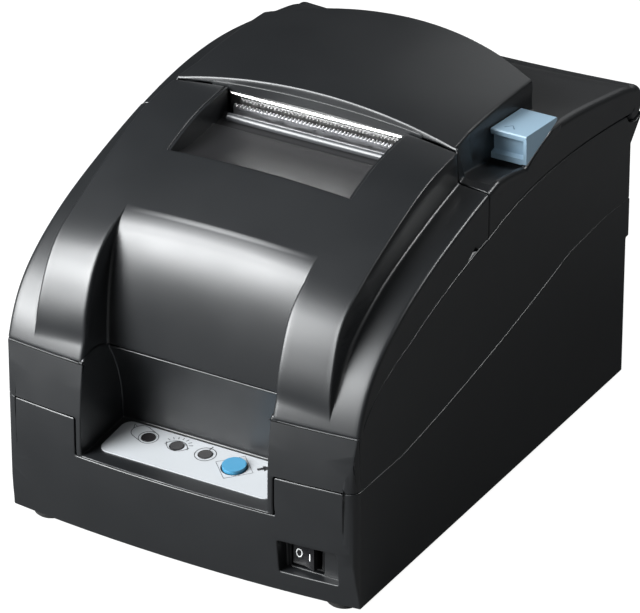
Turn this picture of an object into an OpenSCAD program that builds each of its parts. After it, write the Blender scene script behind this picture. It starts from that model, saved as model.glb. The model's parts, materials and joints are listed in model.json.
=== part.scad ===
// Receipt printer with an impact print head, a hinged ribbon cover and a hinged paper roll cover.
// Millimetres. +Z is up, the front faces -Y, and the origin is under the middle of the body.

/* [Body] */
// Width across the side walls
body_w = 158; // [150:1:170]
// Depth from the front of the bow to the back of the roll cover
body_d = 238; // [232:1:250]
// Height at the crown of the roll cover
body_h = 163; // [158:1:172]
// Wall thickness of the mouldings
wall = 2.5; // [2:0.1:3]
// Radius of the bow of the front in plan
bow_r = 700; // [500:10:1000]
// Height of the underside of the case above the table
base_z = 4; // [3:0.5:6]
// Drop from the crown to the sill under the ribbon cover
sill_drop = 83.4; // [81:0.2:86]
// Drop from the sill to the seam of the lower case at the front
seam_drop = 23.2; // [20:0.2:25]
// Gap between one moulding and the next that moves
seam_gap = 0.6; // [0.4:0.1:1]

/* [Ribbon cover] */
// Width of the raised band
band_w = 129; // [124:1:134]
// Width of the crown over the paper roll, outside
crown_w = 124; // [116:1:130]
// Width of the recess between the two wings
recess_w = 84; // [76:1:90]
// Depth of the recess at the sill
recess_d = 21; // [16:1:24]
// Width of the paper slot at its back
slot_w = 83; // [78:1:88]
// Length of the paper slot from front to back
slot_l = 45; // [38:1:50]
// Radius of the ribbon cover's and the roll cover's hinge pins
pin_r = 2; // [1.5:0.1:2.5]

/* [Roll cover] */
// Radius of the rounded rear end, about its hinge
barrel_r = 7; // [6:0.5:8]
// Height of the step between the band and the crown
crown_step = 3.2; // [2:0.2:5]
// Width of the opening lever
lever_w = 15.8; // [13:0.2:16]
// Length of the opening lever
lever_l = 26; // [22:0.5:28]

/* [Control panel] */
// Gap between the label and each side wall of the recess
label_gap = 3; // [2:0.5:6]
// Length of the label from front to back
label_l = 22; // [18:0.5:23]
// Pitch of the three status lenses
lens_pitch = 13; // [11:0.5:14]
// Radius of each status lens
lens_r = 2.8; // [2:0.1:3.2]
// Radius of the feed button
feed_r = 4.8; // [4:0.1:5.5]
// Travel of the feed button
feed_travel = 1; // [0.5:0.1:1.5]

/* [Power switch] */
// Width of the rocker
rocker_w = 14.6; // [12:0.2:16]
// Height of the rocker
rocker_h = 12.6; // [11:0.2:13.4]

/* [Print mechanism] */
// Distance between the inner faces of the side plates
frame_w = 114; // [110:1:118]
// Thickness of the side plates
plate_t = 2; // [1.5:0.1:2.5]
// Radius of the carriage shaft
shaft_r = 3; // [2.5:0.1:4]
// Length of the carriage along its shaft
carriage_w = 28; // [24:1:32]
// Radius of the paper feed roller
roller_r = 5; // [4:0.25:6]
// Pitch circle radius of each belt pulley
pulley_r = 5; // [4:0.25:6]
// Diameter of the paper roll that the bucket takes
roll_dia = 83; // [76:1:84]
// Width of the paper roll that the bucket takes
roll_width = 77; // [70:1:80]
// Module of the feed gears
gear_m = 0.6; // [0.5:0.05:0.7]

/* [Feet] */
// Radius of each rubber foot
foot_r = 7; // [5:0.5:8]

/* [Hidden] */
$fn = 48;
big_fn = 900;
far = 400;
eps = 0.01;
run_gap = 0.05;
fit_gap = 0.3;

half_w = body_w / 2;
front_y = -body_d / 2;
rear_y = body_d / 2;
bow_y = front_y + bow_r;
side_y = front_y + half_w * half_w / (2 * bow_r);
floor_z = base_z + wall;
sill_z = body_h - sill_drop;
seam_low = sill_z - seam_drop;
shoulder_z = body_h - 18.7;
hinge_y = rear_y - barrel_r;
hinge_z = shoulder_z - 19.8;
rear_wall_y = rear_y - 12;
rear_upper_y = rear_y - 10;
step_z = seam_low + 9.6;

// Points [y, z] of a smooth curve that starts at a, passes b half way and ends at c
function bow3(a, b, c, n) =
  let(m = 2 * b - (a + c) / 2)
  [for (i = [0:n]) let(t = i / n) (1 - t) * (1 - t) * a + 2 * t * (1 - t) * m + t * t * c];
// Drops the first point of a curve that carries on from another one
function rest_of(p) = [for (i = [1:len(p) - 1]) p[i]];
// The same path moved inwards by t, to the right of its direction
function inset(p, t) = [for (i = [0:len(p) - 1])
  let(a = p[max(i - 1, 0)], b = p[min(i + 1, len(p) - 1)], d = (b - a) / norm(b - a))
  p[i] + t * [d.y, -d.x]];

// Outer side of the body along the edge at half_w, from the front foot over the shoulder
side_path = concat(
  bow3([side_y + 4.8, base_z - 2.5], [side_y, 44], [side_y + 2.8, sill_z], 6),
  rest_of(bow3([side_y + 2.8, sill_z], [side_y + 12.2, shoulder_z - 45],
    [side_y + 30.5, shoulder_z - 30], 6)),
  rest_of(bow3([side_y + 30.5, shoulder_z - 30], [side_y + 75.5, shoulder_z - 12.2],
    [12, shoulder_z - 1.2], 6)),
  rest_of(bow3([12, shoulder_z - 1.2], [48, shoulder_z - 0.2], [96, shoulder_z - 7.6], 6)),
  [[hinge_y + 1, hinge_z + barrel_r + 0.1], [rear_y + 6, hinge_z + barrel_r - 3]]);

// Edge of the raised band, at band_w / 2
band_path = concat(
  [[side_y + 4.4, sill_z + 1]],
  bow3([side_y + 3.6, sill_z + 8.5], [side_y + 7.2, body_h - 58.4], [side_y + 15.5, body_h - 43.2], 6),
  rest_of(bow3([side_y + 15.5, body_h - 43.2], [side_y + 30.5, body_h - 33.5],
    [side_y + 63.2, body_h - 19.1], 7)),
  rest_of(bow3([side_y + 63.2, body_h - 19.1], [side_y + 82, body_h - 13.1],
    [-10.5, body_h - 10.5], 4)),
  [[12, body_h - 10.1]]);

// Edge of the crown of the roll cover, at crown_w / 2
crown_path = bow3([-14, body_h - 10.2 + (crown_step - 3.2)], [24, body_h - 6.9], [74, body_h - 8.5], 8);

// Seam between the lower case and the middle case, seen from the side
seam1_path = concat(
  [[front_y - 20, seam_low]],
  bow3([-78, seam_low], [-12, seam_low + 10], [58, seam_low + 25.6], 8),
  [[88, seam_low + 27.8], [rear_y + 20, seam_low + 26.4]]);

// Lower edge of the ribbon cover, seen from the side
seam2_path = concat(
  [[front_y - 20, sill_z], [side_y + 4.2, sill_z + 0.4]],
  rest_of(bow3([side_y + 4.2, sill_z + 0.4], [side_y + 17, sill_z + 13.2], [-74, sill_z + 22.8], 5)),
  rest_of(bow3([-74, sill_z + 22.8], [-42, sill_z + 33.4], [-10, sill_z + 40.4], 5)));

// Lower edge of the roll cover, seen from the side
seam3_path = concat(
  [[-16, sill_z + 39.2]],
  bow3([-11, sill_z + 40.4], [40, sill_z + 47.6], [hinge_y - 3, hinge_z - 2.6], 8),
  [[rear_y + 20, hinge_z - 5.2]]);

// Plan line between the two covers
gap_line = [for (i = [-8:8]) let(x = i * (half_w + 2) / 8) [x, -7.8 - 3.7 * x * x / (half_w * half_w)]];

// Front of the recess panel, from the sill up to where it meets the band
panel_low = [side_y + 18.1 + (recess_d - 21), sill_z];
panel_high = [side_y + 31.5, body_h - 27.6];
panel_path = bow3(panel_low, [side_y + 21.1 + (recess_d - 21) / 2, body_h - 51], panel_high, 6);
// Back wall of the recess below the sill, from the label up
label_w = recess_w - 2 * label_gap;
label_front = [side_y + 1.5, seam_low - 16];
label_back = [side_y + 27.6, seam_low - 13.4];
back_path = bow3(label_back, [side_y + 25.4, seam_low + 6.6], panel_low, 5);

// Crown and bow of the band: its axis lies below and behind it, tilted from front to back
band_tilt = 26;
band_arc = 560;
band_mid = [-60, body_h - 17];
crown_arc = 280;

// Hinge of the ribbon cover
rib_y = side_y + 8.5;
rib_z = sill_z - 13.6;
goose_in = 17.2;
goose_out = 20.8;

module slab_x(x0, x1, pts) {
  translate([x0, 0, 0]) rotate([90, 0, 90]) linear_extrude(x1 - x0) polygon(pts);
}
module rod_x(x0, x1, y, z, r) {
  translate([x0, y, z]) rotate([0, 90, 0]) cylinder(r = r, h = x1 - x0);
}
module rod_z(x, y, z0, z1, r) {
  translate([x, y, z0]) cylinder(r = r, h = z1 - z0);
}
module box(a, b) {
  translate(a) cube(b - a);
}
module both_sides() {
  children();
  mirror([1, 0, 0]) children();
}

// Solid under a path that is swept round the bow of the front
module bow_solid(path, low) {
  span = 24;
  r = [for (p = path) norm([half_w, bow_y - p.x])];
  pts = [for (i = [0:len(path) - 1]) [r[i], path[i].y]];
  translate([0, bow_y, 0]) rotate([0, 0, -90 - span / 2]) rotate_extrude(angle = span, $fn = big_fn)
    polygon(concat(pts, [[r[len(r) - 1], low], [r[0], low]]));
}

// Solid under a path at the edge of a band w wide, swept about an axis tilted by tilt
module arched_solid(path, w, tilt, arc, mid, depth) {
  u = [-sin(tilt), cos(tilt)];
  a = [cos(tilt), sin(tilt)];
  q = mid - arc * u;
  span = 30;
  n = len(path) - 1;
  pts = [for (p = path) [norm([(p - q) * u, w / 2]), (p - q) * a]];
  low = arc - depth;
  translate([0, q.x, q.y]) rotate([tilt - 90, 0, 0]) rotate([0, 0, -90 - span / 2])
    rotate_extrude(angle = span, $fn = big_fn)
      polygon(concat(pts, [[low, pts[n].y], [low, pts[0].y]]));
}

module side_clip(t) {
  box([-half_w + t, front_y - 10, t > 0 ? floor_z : base_z], [half_w - t, rear_y + 10, far]);
}
// Rounds the two front corners of the body in plan
module corner_cut() {
  r = 5;
  both_sides() translate([half_w - r, side_y + r, -10]) difference() {
    translate([0, -r - 8, 0]) cube([r + 8, r + 8, sill_z + 20]);
    translate([0, 0, -1]) cylinder(r = r, h = sill_z + 22);
  }
}
module body_solid(t) {
  difference() {
    intersection() {
      bow_solid(inset(side_path, t), -10);
      side_clip(t);
    }
    if (t == 0) corner_cut();
  }
}
module band_solid(t) {
  intersection() {
    arched_solid(inset(band_path, t), band_w, band_tilt, band_arc, band_mid, 60);
    translate([0, 0, 70]) linear_extrude(far) polygon([
      [t - band_w / 2, front_y - 10], [band_w / 2 - t, front_y - 10], [band_w / 2 - t, -14],
      [crown_w / 2 - t, 3 + t], [t - crown_w / 2, 3 + t], [t - band_w / 2, -14]]);
  }
}
crown_front = bow3([-crown_w / 2, -9.4], [0, -7.1], [crown_w / 2, -9.4], 8);
crown_rear = bow3([crown_w / 2, 54.6], [0, 70], [-crown_w / 2, 54.6], 8);
module crown_solid(t) {
  intersection() {
    arched_solid(inset(crown_path, t), crown_w, 0, crown_arc, [30, body_h - 12], 40);
    translate([0, 0, 100]) linear_extrude(far) polygon(concat(
      [for (p = crown_front) [p.x * (1 - 2 * t / crown_w), p.y + t]],
      [for (p = crown_rear) [p.x * (1 - 2 * t / crown_w), p.y - t]]));
  }
}
// Everything that the covers enclose, shrunk by t
module cover_solid(t) {
  intersection() {
    union() {
      body_solid(t);
      band_solid(t);
      crown_solid(t);
    }
    box([-far, -far, 0], [far, hinge_y + 1 - t, far]);
  }
  rod_x(-half_w + t, half_w - t, hinge_y, hinge_z, barrel_r - t);
}
// Everything that the two lower mouldings enclose, shrunk by t
module case_solid(t) {
  intersection() {
    body_solid(t);
    slab_x(-half_w + t, half_w - t, [
      [front_y - 10, t > 0 ? floor_z : base_z], [rear_wall_y - t, t > 0 ? floor_z : base_z],
      [rear_wall_y - t, step_z], [rear_upper_y - t, step_z], [rear_upper_y - t, hinge_z - 15.6],
      [rear_y - 1.6 - t, hinge_z - 5.4], [rear_y - 1.6 - t, hinge_z + 8], [front_y - 10, hinge_z + 8]]);
  }
}
module above(path, gap, top) {
  slab_x(-far, far, concat([for (p = path) [p.x, p.y + gap]],
    [[path[len(path) - 1].x, top], [path[0].x, top]]));
}
module below(path, gap, bottom) {
  slab_x(-far, far, concat([for (p = path) [p.x, p.y - gap]],
    [[path[len(path) - 1].x, bottom], [path[0].x, bottom]]));
}
module front_of_gap() {
  translate([0, 0, -eps]) linear_extrude(far) polygon(concat(
    [for (p = gap_line) [p.x, p.y - seam_gap / 2]], [[half_w + 9, -far], [-half_w - 9, -far]]));
}
module behind_gap() {
  translate([0, 0, -eps]) linear_extrude(far) polygon(concat(
    [for (p = gap_line) [p.x, p.y + seam_gap / 2]], [[half_w + 9, far], [-half_w - 9, far]]));
}

// ---- Lower case ----
notch_w = recess_w + 6.2;
boss_at = [[half_w - 9.5, side_y + 26, seam_low - 6.4], [half_w - 9.5, rear_wall_y - 34, seam_low + 21.6]];
module at_bosses() {
  for (p = boss_at) both_sides() translate(p) children();
}
post_x = frame_w / 2 - 7;
post_y = [-74, -6];
deck_z = body_h - 101;
bucket_post_x = 34;
bucket_post_y = [26, 78];
bucket_foot_z = body_h - 114;
screw_r = 1.5;
pocket_x = [45.6, 70.6];
pocket_z = [13.6, 28.2];
rocker_x = pocket_x[0] + 1.6 + rocker_w / 2;
rocker_mid_z = (pocket_z[0] + pocket_z[1]) / 2;
pocket_y = side_y + 5.4;
foot_at = [[half_w - 12, side_y + 13], [half_w - 12, rear_wall_y - 13]];
board_z = 12;
board_t = 1.6;
board_x = 44;
board_y = [-80, 8];
port_y = [rear_wall_y - 22, rear_wall_y - 4];
port_board_z = 16;
port_mid_z = port_board_z + board_t + 7;
port_x = [-13, 24, 39];
port_w = [54, 13, 15];
port_h = [12.6, 12, 14];

module at_corners(xs, ys) {
  for (x = [-xs, xs], y = ys) translate([x, y, 0]) children();
}
module bottom_case() color([0.14, 0.14, 0.15]) difference() {
  union() {
    intersection() {
      difference() {
        case_solid(0);
        case_solid(wall);
      }
      below(seam1_path, 0, 0);
    }
    intersection() {
      box([pocket_x[0] - wall, front_y, pocket_z[0] - wall],
        [pocket_x[1] + wall, pocket_y + wall, pocket_z[1] + wall]);
      body_solid(0);
    }
  }
  box([-notch_w / 2, front_y - 5, label_front.y - 0.8], [notch_w / 2, side_y + 24, far]);
  // rocker pocket and the opening for the switch body
  box([pocket_x[0], front_y - 5, pocket_z[0]], [pocket_x[1], pocket_y, pocket_z[1]]);
  box([rocker_x - rocker_w / 2 + 0.6, pocket_y - 1, rocker_mid_z - rocker_h / 2 - 0.6],
    [rocker_x + rocker_w / 2 + 0.6, pocket_y + wall + 1, rocker_mid_z + rocker_h / 2 + 0.6]);
  for (i = [0:2]) box([port_x[i] - port_w[i] / 2 - fit_gap, rear_wall_y - wall - 1,
      port_board_z + board_t - fit_gap],
    [port_x[i] + port_w[i] / 2 + fit_gap, rear_wall_y + 1, port_mid_z + port_h[i] / 2 + fit_gap]);
  at_bosses() rod_z(0, 0, -far, -8, 3.3);
  at_corners(foot_at[0].x, [foot_at[0].y, foot_at[1].y]) rod_z(0, 0, 0, base_z + 1, foot_r + 0.2);
}
// Pillars that stand on the floor of the lower case and take the screws
module case_posts() color([0.14, 0.14, 0.15]) difference() {
  union() {
    for (p = boss_at) both_sides() rod_z(p.x, p.y, floor_z, p.z, 4.8);
    at_corners(post_x, post_y) rod_z(0, 0, floor_z, deck_z, 4);
    at_corners(bucket_post_x, bucket_post_y) rod_z(0, 0, floor_z, bucket_foot_z, 4);
    at_corners(board_x - 6, [board_y[0] + 6, board_y[1] - 8]) rod_z(0, 0, floor_z, board_z, 3);
    at_corners(40, [port_y[0] + 7]) rod_z(0, 0, floor_z, port_board_z, 3);
  }
  at_bosses() {
    rod_z(0, 0, -far, 1, screw_r + 0.3);
    rod_z(0, 0, -far, -8, 3.3);
  }
  at_corners(post_x, post_y) rod_z(0, 0, deck_z - 12, far, screw_r);
  at_corners(bucket_post_x, bucket_post_y) rod_z(0, 0, bucket_foot_z - 10, far, screw_r);
  at_corners(board_x - 6, [board_y[0] + 6, board_y[1] - 8]) rod_z(0, 0, board_z - 4, far, 1);
  at_corners(40, [port_y[0] + 7]) rod_z(0, 0, port_board_z - 5, far, 1);
}

module rubber_feet() color([0.05, 0.05, 0.05])
  at_corners(foot_at[0].x, [foot_at[0].y, foot_at[1].y]) {
    rod_z(0, 0, 0.8, base_z + 1, foot_r);
    translate([0, 0, 0]) cylinder(r1 = foot_r - 0.8, r2 = foot_r, h = 0.8);
  }

// ---- Middle case ----
ear_x = [half_w - 8.5, half_w - 5];
rib_ear_x = [half_w - 10, half_w - 7];
module recess_box(z0, z1, grow) {
  back = concat([for (p = back_path) p + [grow, 0]], [for (p = rest_of(panel_path)) p + [grow, 0]]);
  intersection() {
    slab_x(-recess_w / 2 - grow, recess_w / 2 + grow, concat(
      [[front_y - 10, label_front.y - grow], label_front - [0, grow], label_back + [grow, -grow]],
      back, [[front_y - 10, panel_high.y]]));
    box([-far, front_y - 10, z0], [far, far, z1]);
  }
}
module middle_case() color([0.14, 0.14, 0.15]) difference() {
  union() {
    intersection() {
      difference() {
        case_solid(0);
        case_solid(wall);
      }
      above(seam1_path, 0, far);
      union() {
        below(seam2_path, 0, 0);
        box([-far, -11.4, 0], [far, far, far]);
      }
      union() {
        below(seam3_path, seam_gap, 0);
        box([-far, -far, 0], [far, -11.6, far]);
      }
    }
    // recess with its floor, back wall and side walls
    intersection() {
      recess_box(label_front.y - wall, sill_z, wall);
      body_solid(0);
      union() {
        box([-notch_w / 2 + 0.1, -far, label_front.y - 0.6], [notch_w / 2 - 0.1, far, far]);
        body_solid(wall + 0.2);
      }
    }
    intersection() {
      rod_x(-recess_w / 2 - wall, recess_w / 2 + wall, rib_y, rib_z, goose_in);
      both_sides() box([recess_w / 2, front_y, sill_z - 3], [recess_w / 2 + wall, far, far]);
      body_solid(0.3);
    }
    // screw bosses with their ribs to the side walls
    at_bosses() {
      rod_z(0, 0, 0, 16, 4);
      box([0, -1, 10], [9.5 - wall + eps, 1, 16]);
    }
    // ears that carry the hinge pins of the ribbon cover
    both_sides() intersection() {
      box([rib_ear_x[0], front_y, rib_z - 6], [rib_ear_x[1], rib_y + 4.5, rib_z + 6]);
      body_solid(0.5);
    }
    // ears that carry the hinge pins of the roll cover
    both_sides() {
      rod_x(ear_x[0], ear_x[1], hinge_y, hinge_z, pin_r + 1.9);
      slab_x(ear_x[0], ear_x[1], [[hinge_y - 3, hinge_z + 2.2], [hinge_y + 0.5, hinge_z - 3.8],
        [hinge_y - 13, hinge_z - 17], [hinge_y - 19, hinge_z - 12]]);
      slab_x(ear_x[0], half_w - wall + eps, [[hinge_y - 9, hinge_z - 12], [hinge_y - 13, hinge_z - 17],
        [hinge_y - 19, hinge_z - 12], [hinge_y - 15, hinge_z - 8]]);
    }
  }
  recess_box(0, sill_z + 1, 0);
  // the cup behind the barrel of the roll cover
  difference() {
    rod_x(-far, far, hinge_y, hinge_z, barrel_r + seam_gap);
    both_sides() rod_x(ear_x[0], ear_x[1], hinge_y, hinge_z, pin_r + 1.9);
    both_sides() slab_x(ear_x[0], ear_x[1], [[hinge_y - 3, hinge_z + 2.2],
      [hinge_y + 0.5, hinge_z - 3.8], [hinge_y - 13, hinge_z - 17], [hinge_y - 19, hinge_z - 12]]);
  }
  both_sides() rod_x(ear_x[0] - 1, ear_x[1] + eps, hinge_y, hinge_z, pin_r);
  both_sides() rod_x(rib_ear_x[0] - 1, rib_ear_x[1] + eps, rib_y, rib_z, pin_r);
  at_bosses() rod_z(0, 0, -1, 13, screw_r);
  panel_holes(fit_gap);
}

module case_screws() color([0.75, 0.76, 0.78]) at_bosses() {
  rod_z(0, 0, -10.2, -8, 3);
  rod_z(0, 0, -8, 12, screw_r);
}

// ---- Control panel ----
panel_rise = atan2(label_back.y - label_front.y, label_back.x - label_front.x);
label_mid_y = (label_front.x + label_back.x) / 2 + 0.4;
label_t = 0.5;
lens_x = -25;
feed_x = 15.6;
row_y = 4.3;
feed_row_y = 1.8;
module on_panel() {
  translate([0, label_front.x, label_front.y]) rotate([panel_rise, 0, 0])
    translate([0, label_mid_y - label_front.x, 0]) children();
}
module panel_holes(c) {
  on_panel() {
    for (i = [0:2]) rod_z(lens_x + i * lens_pitch, row_y, -wall - 3, 3, lens_r + c);
    rod_z(feed_x, feed_row_y, -wall - 3, 3, feed_r + c);
  }
}
module panel_label() color([0.82, 0.83, 0.84]) difference() {
  on_panel() linear_extrude(label_t) difference() {
    union() {
      square([label_w - 8, label_l], center = true);
      square([label_w, label_l - 8], center = true);
      for (x = [-1, 1], y = [-1, 1]) translate([x * (label_w / 2 - 4), y * (label_l / 2 - 4)])
        circle(r = 4);
    }
  }
  panel_holes(fit_gap);
}
module status_lenses() color([0.2, 0.2, 0.2]) on_panel()
  for (i = [0:2]) rod_z(lens_x + i * lens_pitch, row_y, -wall - 1.6, label_t + 0.3, lens_r);
module feed_button() color([0.33, 0.66, 0.84]) on_panel() {
  rod_z(feed_x, feed_row_y, -wall - 1, label_t + 1.5, feed_r);
  rod_z(feed_x, feed_row_y, -wall - 2, -wall - 1, feed_r + 1.2);
  rod_z(feed_x, feed_row_y, -wall - 4.6 + feed_travel, -wall - 2, 1.5);
}
module feed_spring() color([0.8, 0.8, 0.82]) on_panel() difference() {
  rod_z(feed_x, feed_row_y, -wall - 5.2, -wall - 2, feed_r - 0.8);
  rod_z(feed_x, feed_row_y, -wall - 6, -wall - 1, feed_r - 1.6);
}
module panel_board() color([0.1, 0.35, 0.18]) on_panel() {
  difference() {
    box([3 - label_w / 2, -7, -wall - 6.8], [label_w / 2 - 9, 10, -wall - 5.2]);
    for (x = [6 - label_w / 2, label_w / 2 - 12]) rod_z(x, 6, -wall - 8, far, 1.2);
  }
  box([feed_x - 2, feed_row_y - 2, -wall - 5.2], [feed_x + 2, feed_row_y + 2, -wall - 4.7]);
  for (i = [0:2]) rod_z(lens_x + i * lens_pitch, row_y, -wall - 5.2, -wall - 1.6, 1.5);
  for (x = [6 - label_w / 2, label_w / 2 - 12]) rod_z(x, 6, -wall - 5.2, -wall - 0.17, 2);
}

// ---- Power switch ----
module switch_body() color([0.06, 0.06, 0.06]) difference() {
  union() {
    box([rocker_x - rocker_w / 2 + 1, pocket_y + 1, rocker_mid_z - rocker_h / 2],
      [rocker_x + rocker_w / 2, pocket_y + 14, rocker_mid_z + rocker_h / 2]);
    for (x = [-4, 4]) box([rocker_x + x - 0.4, pocket_y + 14, rocker_mid_z - 2],
      [rocker_x + x + 0.4, pocket_y + 20, rocker_mid_z + 2]);
  }
  box([rocker_x - rocker_w / 2 + 2, pocket_y, rocker_mid_z - rocker_h / 2 + 1],
    [rocker_x + rocker_w / 2 - 1, pocket_y + 8, rocker_mid_z + rocker_h / 2 - 1]);
  rod_z(rocker_x, pocket_y + 3.4, 0, far, 0.9);
}
// Rocker, pivoting about a vertical pin; its left half is pressed in at rest
rocker_lean = 9;
module power_rocker() color([0.09, 0.09, 0.1])
  translate([rocker_x, pocket_y + 3.4, rocker_mid_z]) rotate([0, 0, -rocker_lean]) {
    translate([0, 0, -rocker_h / 2 + 1.3]) linear_extrude(rocker_h - 2.6) polygon([
      [-rocker_w / 2 + 2.4, -4.6], [0, -3.6], [rocker_w / 2 - 1.6, -5.2],
      [rocker_w / 2 - 1.8, -1], [0, 2.6], [-rocker_w / 2 + 2.6, -1]]);
    rod_z(0, 0, -rocker_h / 2 + 0.2, rocker_h / 2 - 0.2, 0.9 - run_gap);
  }

// ---- Ribbon cover ----
slot_back = -7.5;
slot_front = slot_back - slot_l;
slot_edge_z = body_h - 18;
slot_x0 = slot_w / 2 - 1.5;
chute_path = bow3([slot_front + 0.2, slot_edge_z - 0.8], [-38, body_h - 21.4], [-20.2, body_h - 19.6], 6);
module paper_slot(grow) {
  translate([0, 0, 120]) linear_extrude(far) polygon([
    [-slot_w / 2 - grow, slot_back + 20], [-slot_x0 - grow, slot_front - grow],
    [slot_x0 + grow, slot_front - grow], [slot_w / 2 + grow, slot_back + 20]]);
}
module goose_arm(x0, x1) difference() {
  union() {
    intersection() {
      difference() {
        rod_x(x0, x1, rib_y, rib_z, goose_out);
        rod_x(x0 - 1, x1 + 1, rib_y, rib_z, goose_in + seam_gap / 2);
      }
      slab_x(x0, x1, [[rib_y, rib_z], [rib_y + 30, rib_z + 18], [rib_y + 30, rib_z + 40],
        [rib_y - 20, rib_z + 40], [rib_y - 20, rib_z + 15.6]]);
    }
    translate([0, rib_y, rib_z]) rotate([33, 0, 0]) translate([x0, 0, -2.5])
      cube([x1 - x0, goose_in + 1.4, 5]);
    rod_x(x0, x1, rib_y, rib_z, pin_r + 2.2);
  }
  rod_x(x0 - 1, x1 + 1, rib_y, rib_z, pin_r + run_gap);
}
module ribbon_cover() color([0.15, 0.15, 0.16]) {
  difference() {
    union() {
      intersection() {
        difference() {
          cover_solid(0);
          cover_solid(wall);
        }
        above(seam2_path, seam_gap, far);
        front_of_gap();
      }
      // walls of the recess between the wings
      intersection() {
        recess_box(sill_z + seam_gap, far, wall);
        cover_solid(0);
      }
      // side walls of the paper slot
      intersection() {
        difference() {
          paper_slot(wall);
          paper_slot(0);
        }
        cover_solid(0.2);
        front_of_gap();
        slab_x(-far, far, [[slot_front - 3, far], [slot_front - 3, slot_edge_z - 6],
          [-34, body_h - 25], [-21, body_h - 25], [-20.2, body_h - 17], [-8.2, body_h - 14], [-8.2, far]]);
      }
    }
    recess_box(sill_z, far, 0);
    paper_slot(0);
    // room under the recess walls for the arched top of the walls below
    both_sides() rod_x(recess_w / 2 - 0.1, recess_w / 2 + wall + 0.3, rib_y, rib_z, goose_in + seam_gap);
    // relief inside the front edge, so that it clears the middle case as it tilts
    bow_solid([[side_y + 3.4, sill_z + 0.4], [side_y + 3.5, sill_z + seam_gap + 0.2],
      [side_y + 7.6, sill_z + 4.8], [side_y + 8, sill_z + 4.8]], sill_z - 1);
    // thumb notches in the lower edge
    both_sides() slab_x(half_w - wall - 1, half_w + 1, [[-33, sill_z + 33.8], [-22, sill_z + 41.4],
      [-18, sill_z + 37], [-30, sill_z + 32]]);
  }
  both_sides() intersection() {
    goose_arm(half_w - 15.2, half_w - 10.4);
    body_solid(0.6);
  }
}
module ribbon_hinge_pins() color([0.75, 0.76, 0.78])
  both_sides() rod_x(half_w - 15.2, half_w - 7, rib_y, rib_z, pin_r);

// Floor of the paper slot: a curved sheet with a lip at its back
module paper_chute() color([0.1, 0.1, 0.11]) {
  x = slot_w / 2 + 1;
  intersection() {
    slab_x(-x, x, concat(chute_path, [for (i = [len(chute_path) - 1:-1:0]) chute_path[i] - [0, 2]]));
    paper_slot(0);
  }
}

// ---- Roll cover ----
lever_x = [half_w - 0.6 - lever_w, half_w - 0.6];
lever_y = [19.2, 19.2 + lever_l];
lever_top = [body_h - 12.8, body_h - 15];
lever_low = body_h - 25.8;
lever_pin_at = [lever_y[1] - 3.4, body_h - 20.6];
pocket_path = [[-6.2, body_h - 23.2], [18.6, body_h - 27.4], [lever_y[1] - 6, body_h - 25.4],
  [lever_y[1] + 1.2, body_h - 24.4]];
module lever_pocket(grow) {
  x0 = grow > 0 ? lever_x[0] - fit_gap - grow : lever_x[0] - fit_gap;
  x1 = grow > 0 ? half_w - 0.2 : half_w + 1;
  slab_x(x0, x1, concat([for (p = pocket_path) p - [0, grow]],
    [[lever_y[1] + 1.2 + grow, pocket_path[3].y - grow], [lever_y[1] + 1.2 + grow, far], [-6.2, far]]));
}
module roll_cover() color([0.15, 0.15, 0.16]) {
  pocket_side = [[18.6, body_h - 26], [lever_y[1] - 1.4, body_h - 17.6], [lever_y[1] + 1.2, body_h - 14],
    [lever_y[1] + 1.2, far], [-20, far], [-20, body_h - 22.4]];
  difference() {
    union() {
      intersection() {
        difference() {
          cover_solid(0);
          cover_solid(wall);
        }
        above(seam3_path, 0, far);
        behind_gap();
      }
      intersection() {
        lever_pocket(2);
        cover_solid(0);
        behind_gap();
      }
      // front wall over the paper slot
      intersection() {
        box([-slot_w / 2 - 6, -8, body_h - 10.6], [slot_w / 2 + 6, -4.6, far]);
        cover_solid(0.2);
      }
      // bosses that carry the hinge and the lever pin
      both_sides() rod_x(half_w - 15, ear_x[0] - 0.4, hinge_y, hinge_z, barrel_r - 0.2);
      slab_x(lever_x[0] - fit_gap - 2, lever_x[0] - fit_gap, [[lever_pin_at.x - 3.5, lever_pin_at.y - 6],
        [lever_pin_at.x + 3.5, lever_pin_at.y - 6], [lever_pin_at.x + 3.5, lever_pin_at.y + 3.5],
        [lever_pin_at.x - 3.5, lever_pin_at.y + 3.5]]);
    }
    intersection() {
      lever_pocket(0);
      union() {
        box([-far, -far, 0], [half_w - wall, far, far]);
        slab_x(half_w - wall - 1, far, pocket_side);
      }
    }
    both_sides() rod_x(half_w - 16, half_w - wall, hinge_y, hinge_z, pin_r + run_gap);
    // room for the ears of the middle case
    both_sides() box([ear_x[0] - 0.4, hinge_y - 1, 0], [ear_x[1] + 0.4, rear_y + 1, hinge_z - 1]);
    both_sides() rod_x(ear_x[0] - 0.4, half_w - wall, hinge_y, hinge_z, pin_r + 2.2);
    rod_x(lever_x[0] - 4, half_w - 1, lever_pin_at.x, lever_pin_at.y, 1.5);
    // slot that the lever's hook passes through
    box([lever_x[0] + 3, lever_y[0] - 3, body_h - 34], [lever_x[0] + 9.4, lever_y[0] + 12, body_h - 22]);
  }
}
module roll_hinge_pins() color([0.75, 0.76, 0.78])
  both_sides() rod_x(half_w - 15, ear_x[1], hinge_y, hinge_z, pin_r);

guide_y = [-7.8, -6.6];
module cover_guide_plate() color([0.82, 0.8, 0.78]) {
  box([-slot_w / 2 + 2, guide_y[0], body_h - 19], [slot_w / 2 - 2, guide_y[1], body_h - 10.6]);
  rod_x(-slot_w / 2 + 2, slot_w / 2 - 2, guide_y[0] + 0.4, body_h - 11.7, 0.9);
}

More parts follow.
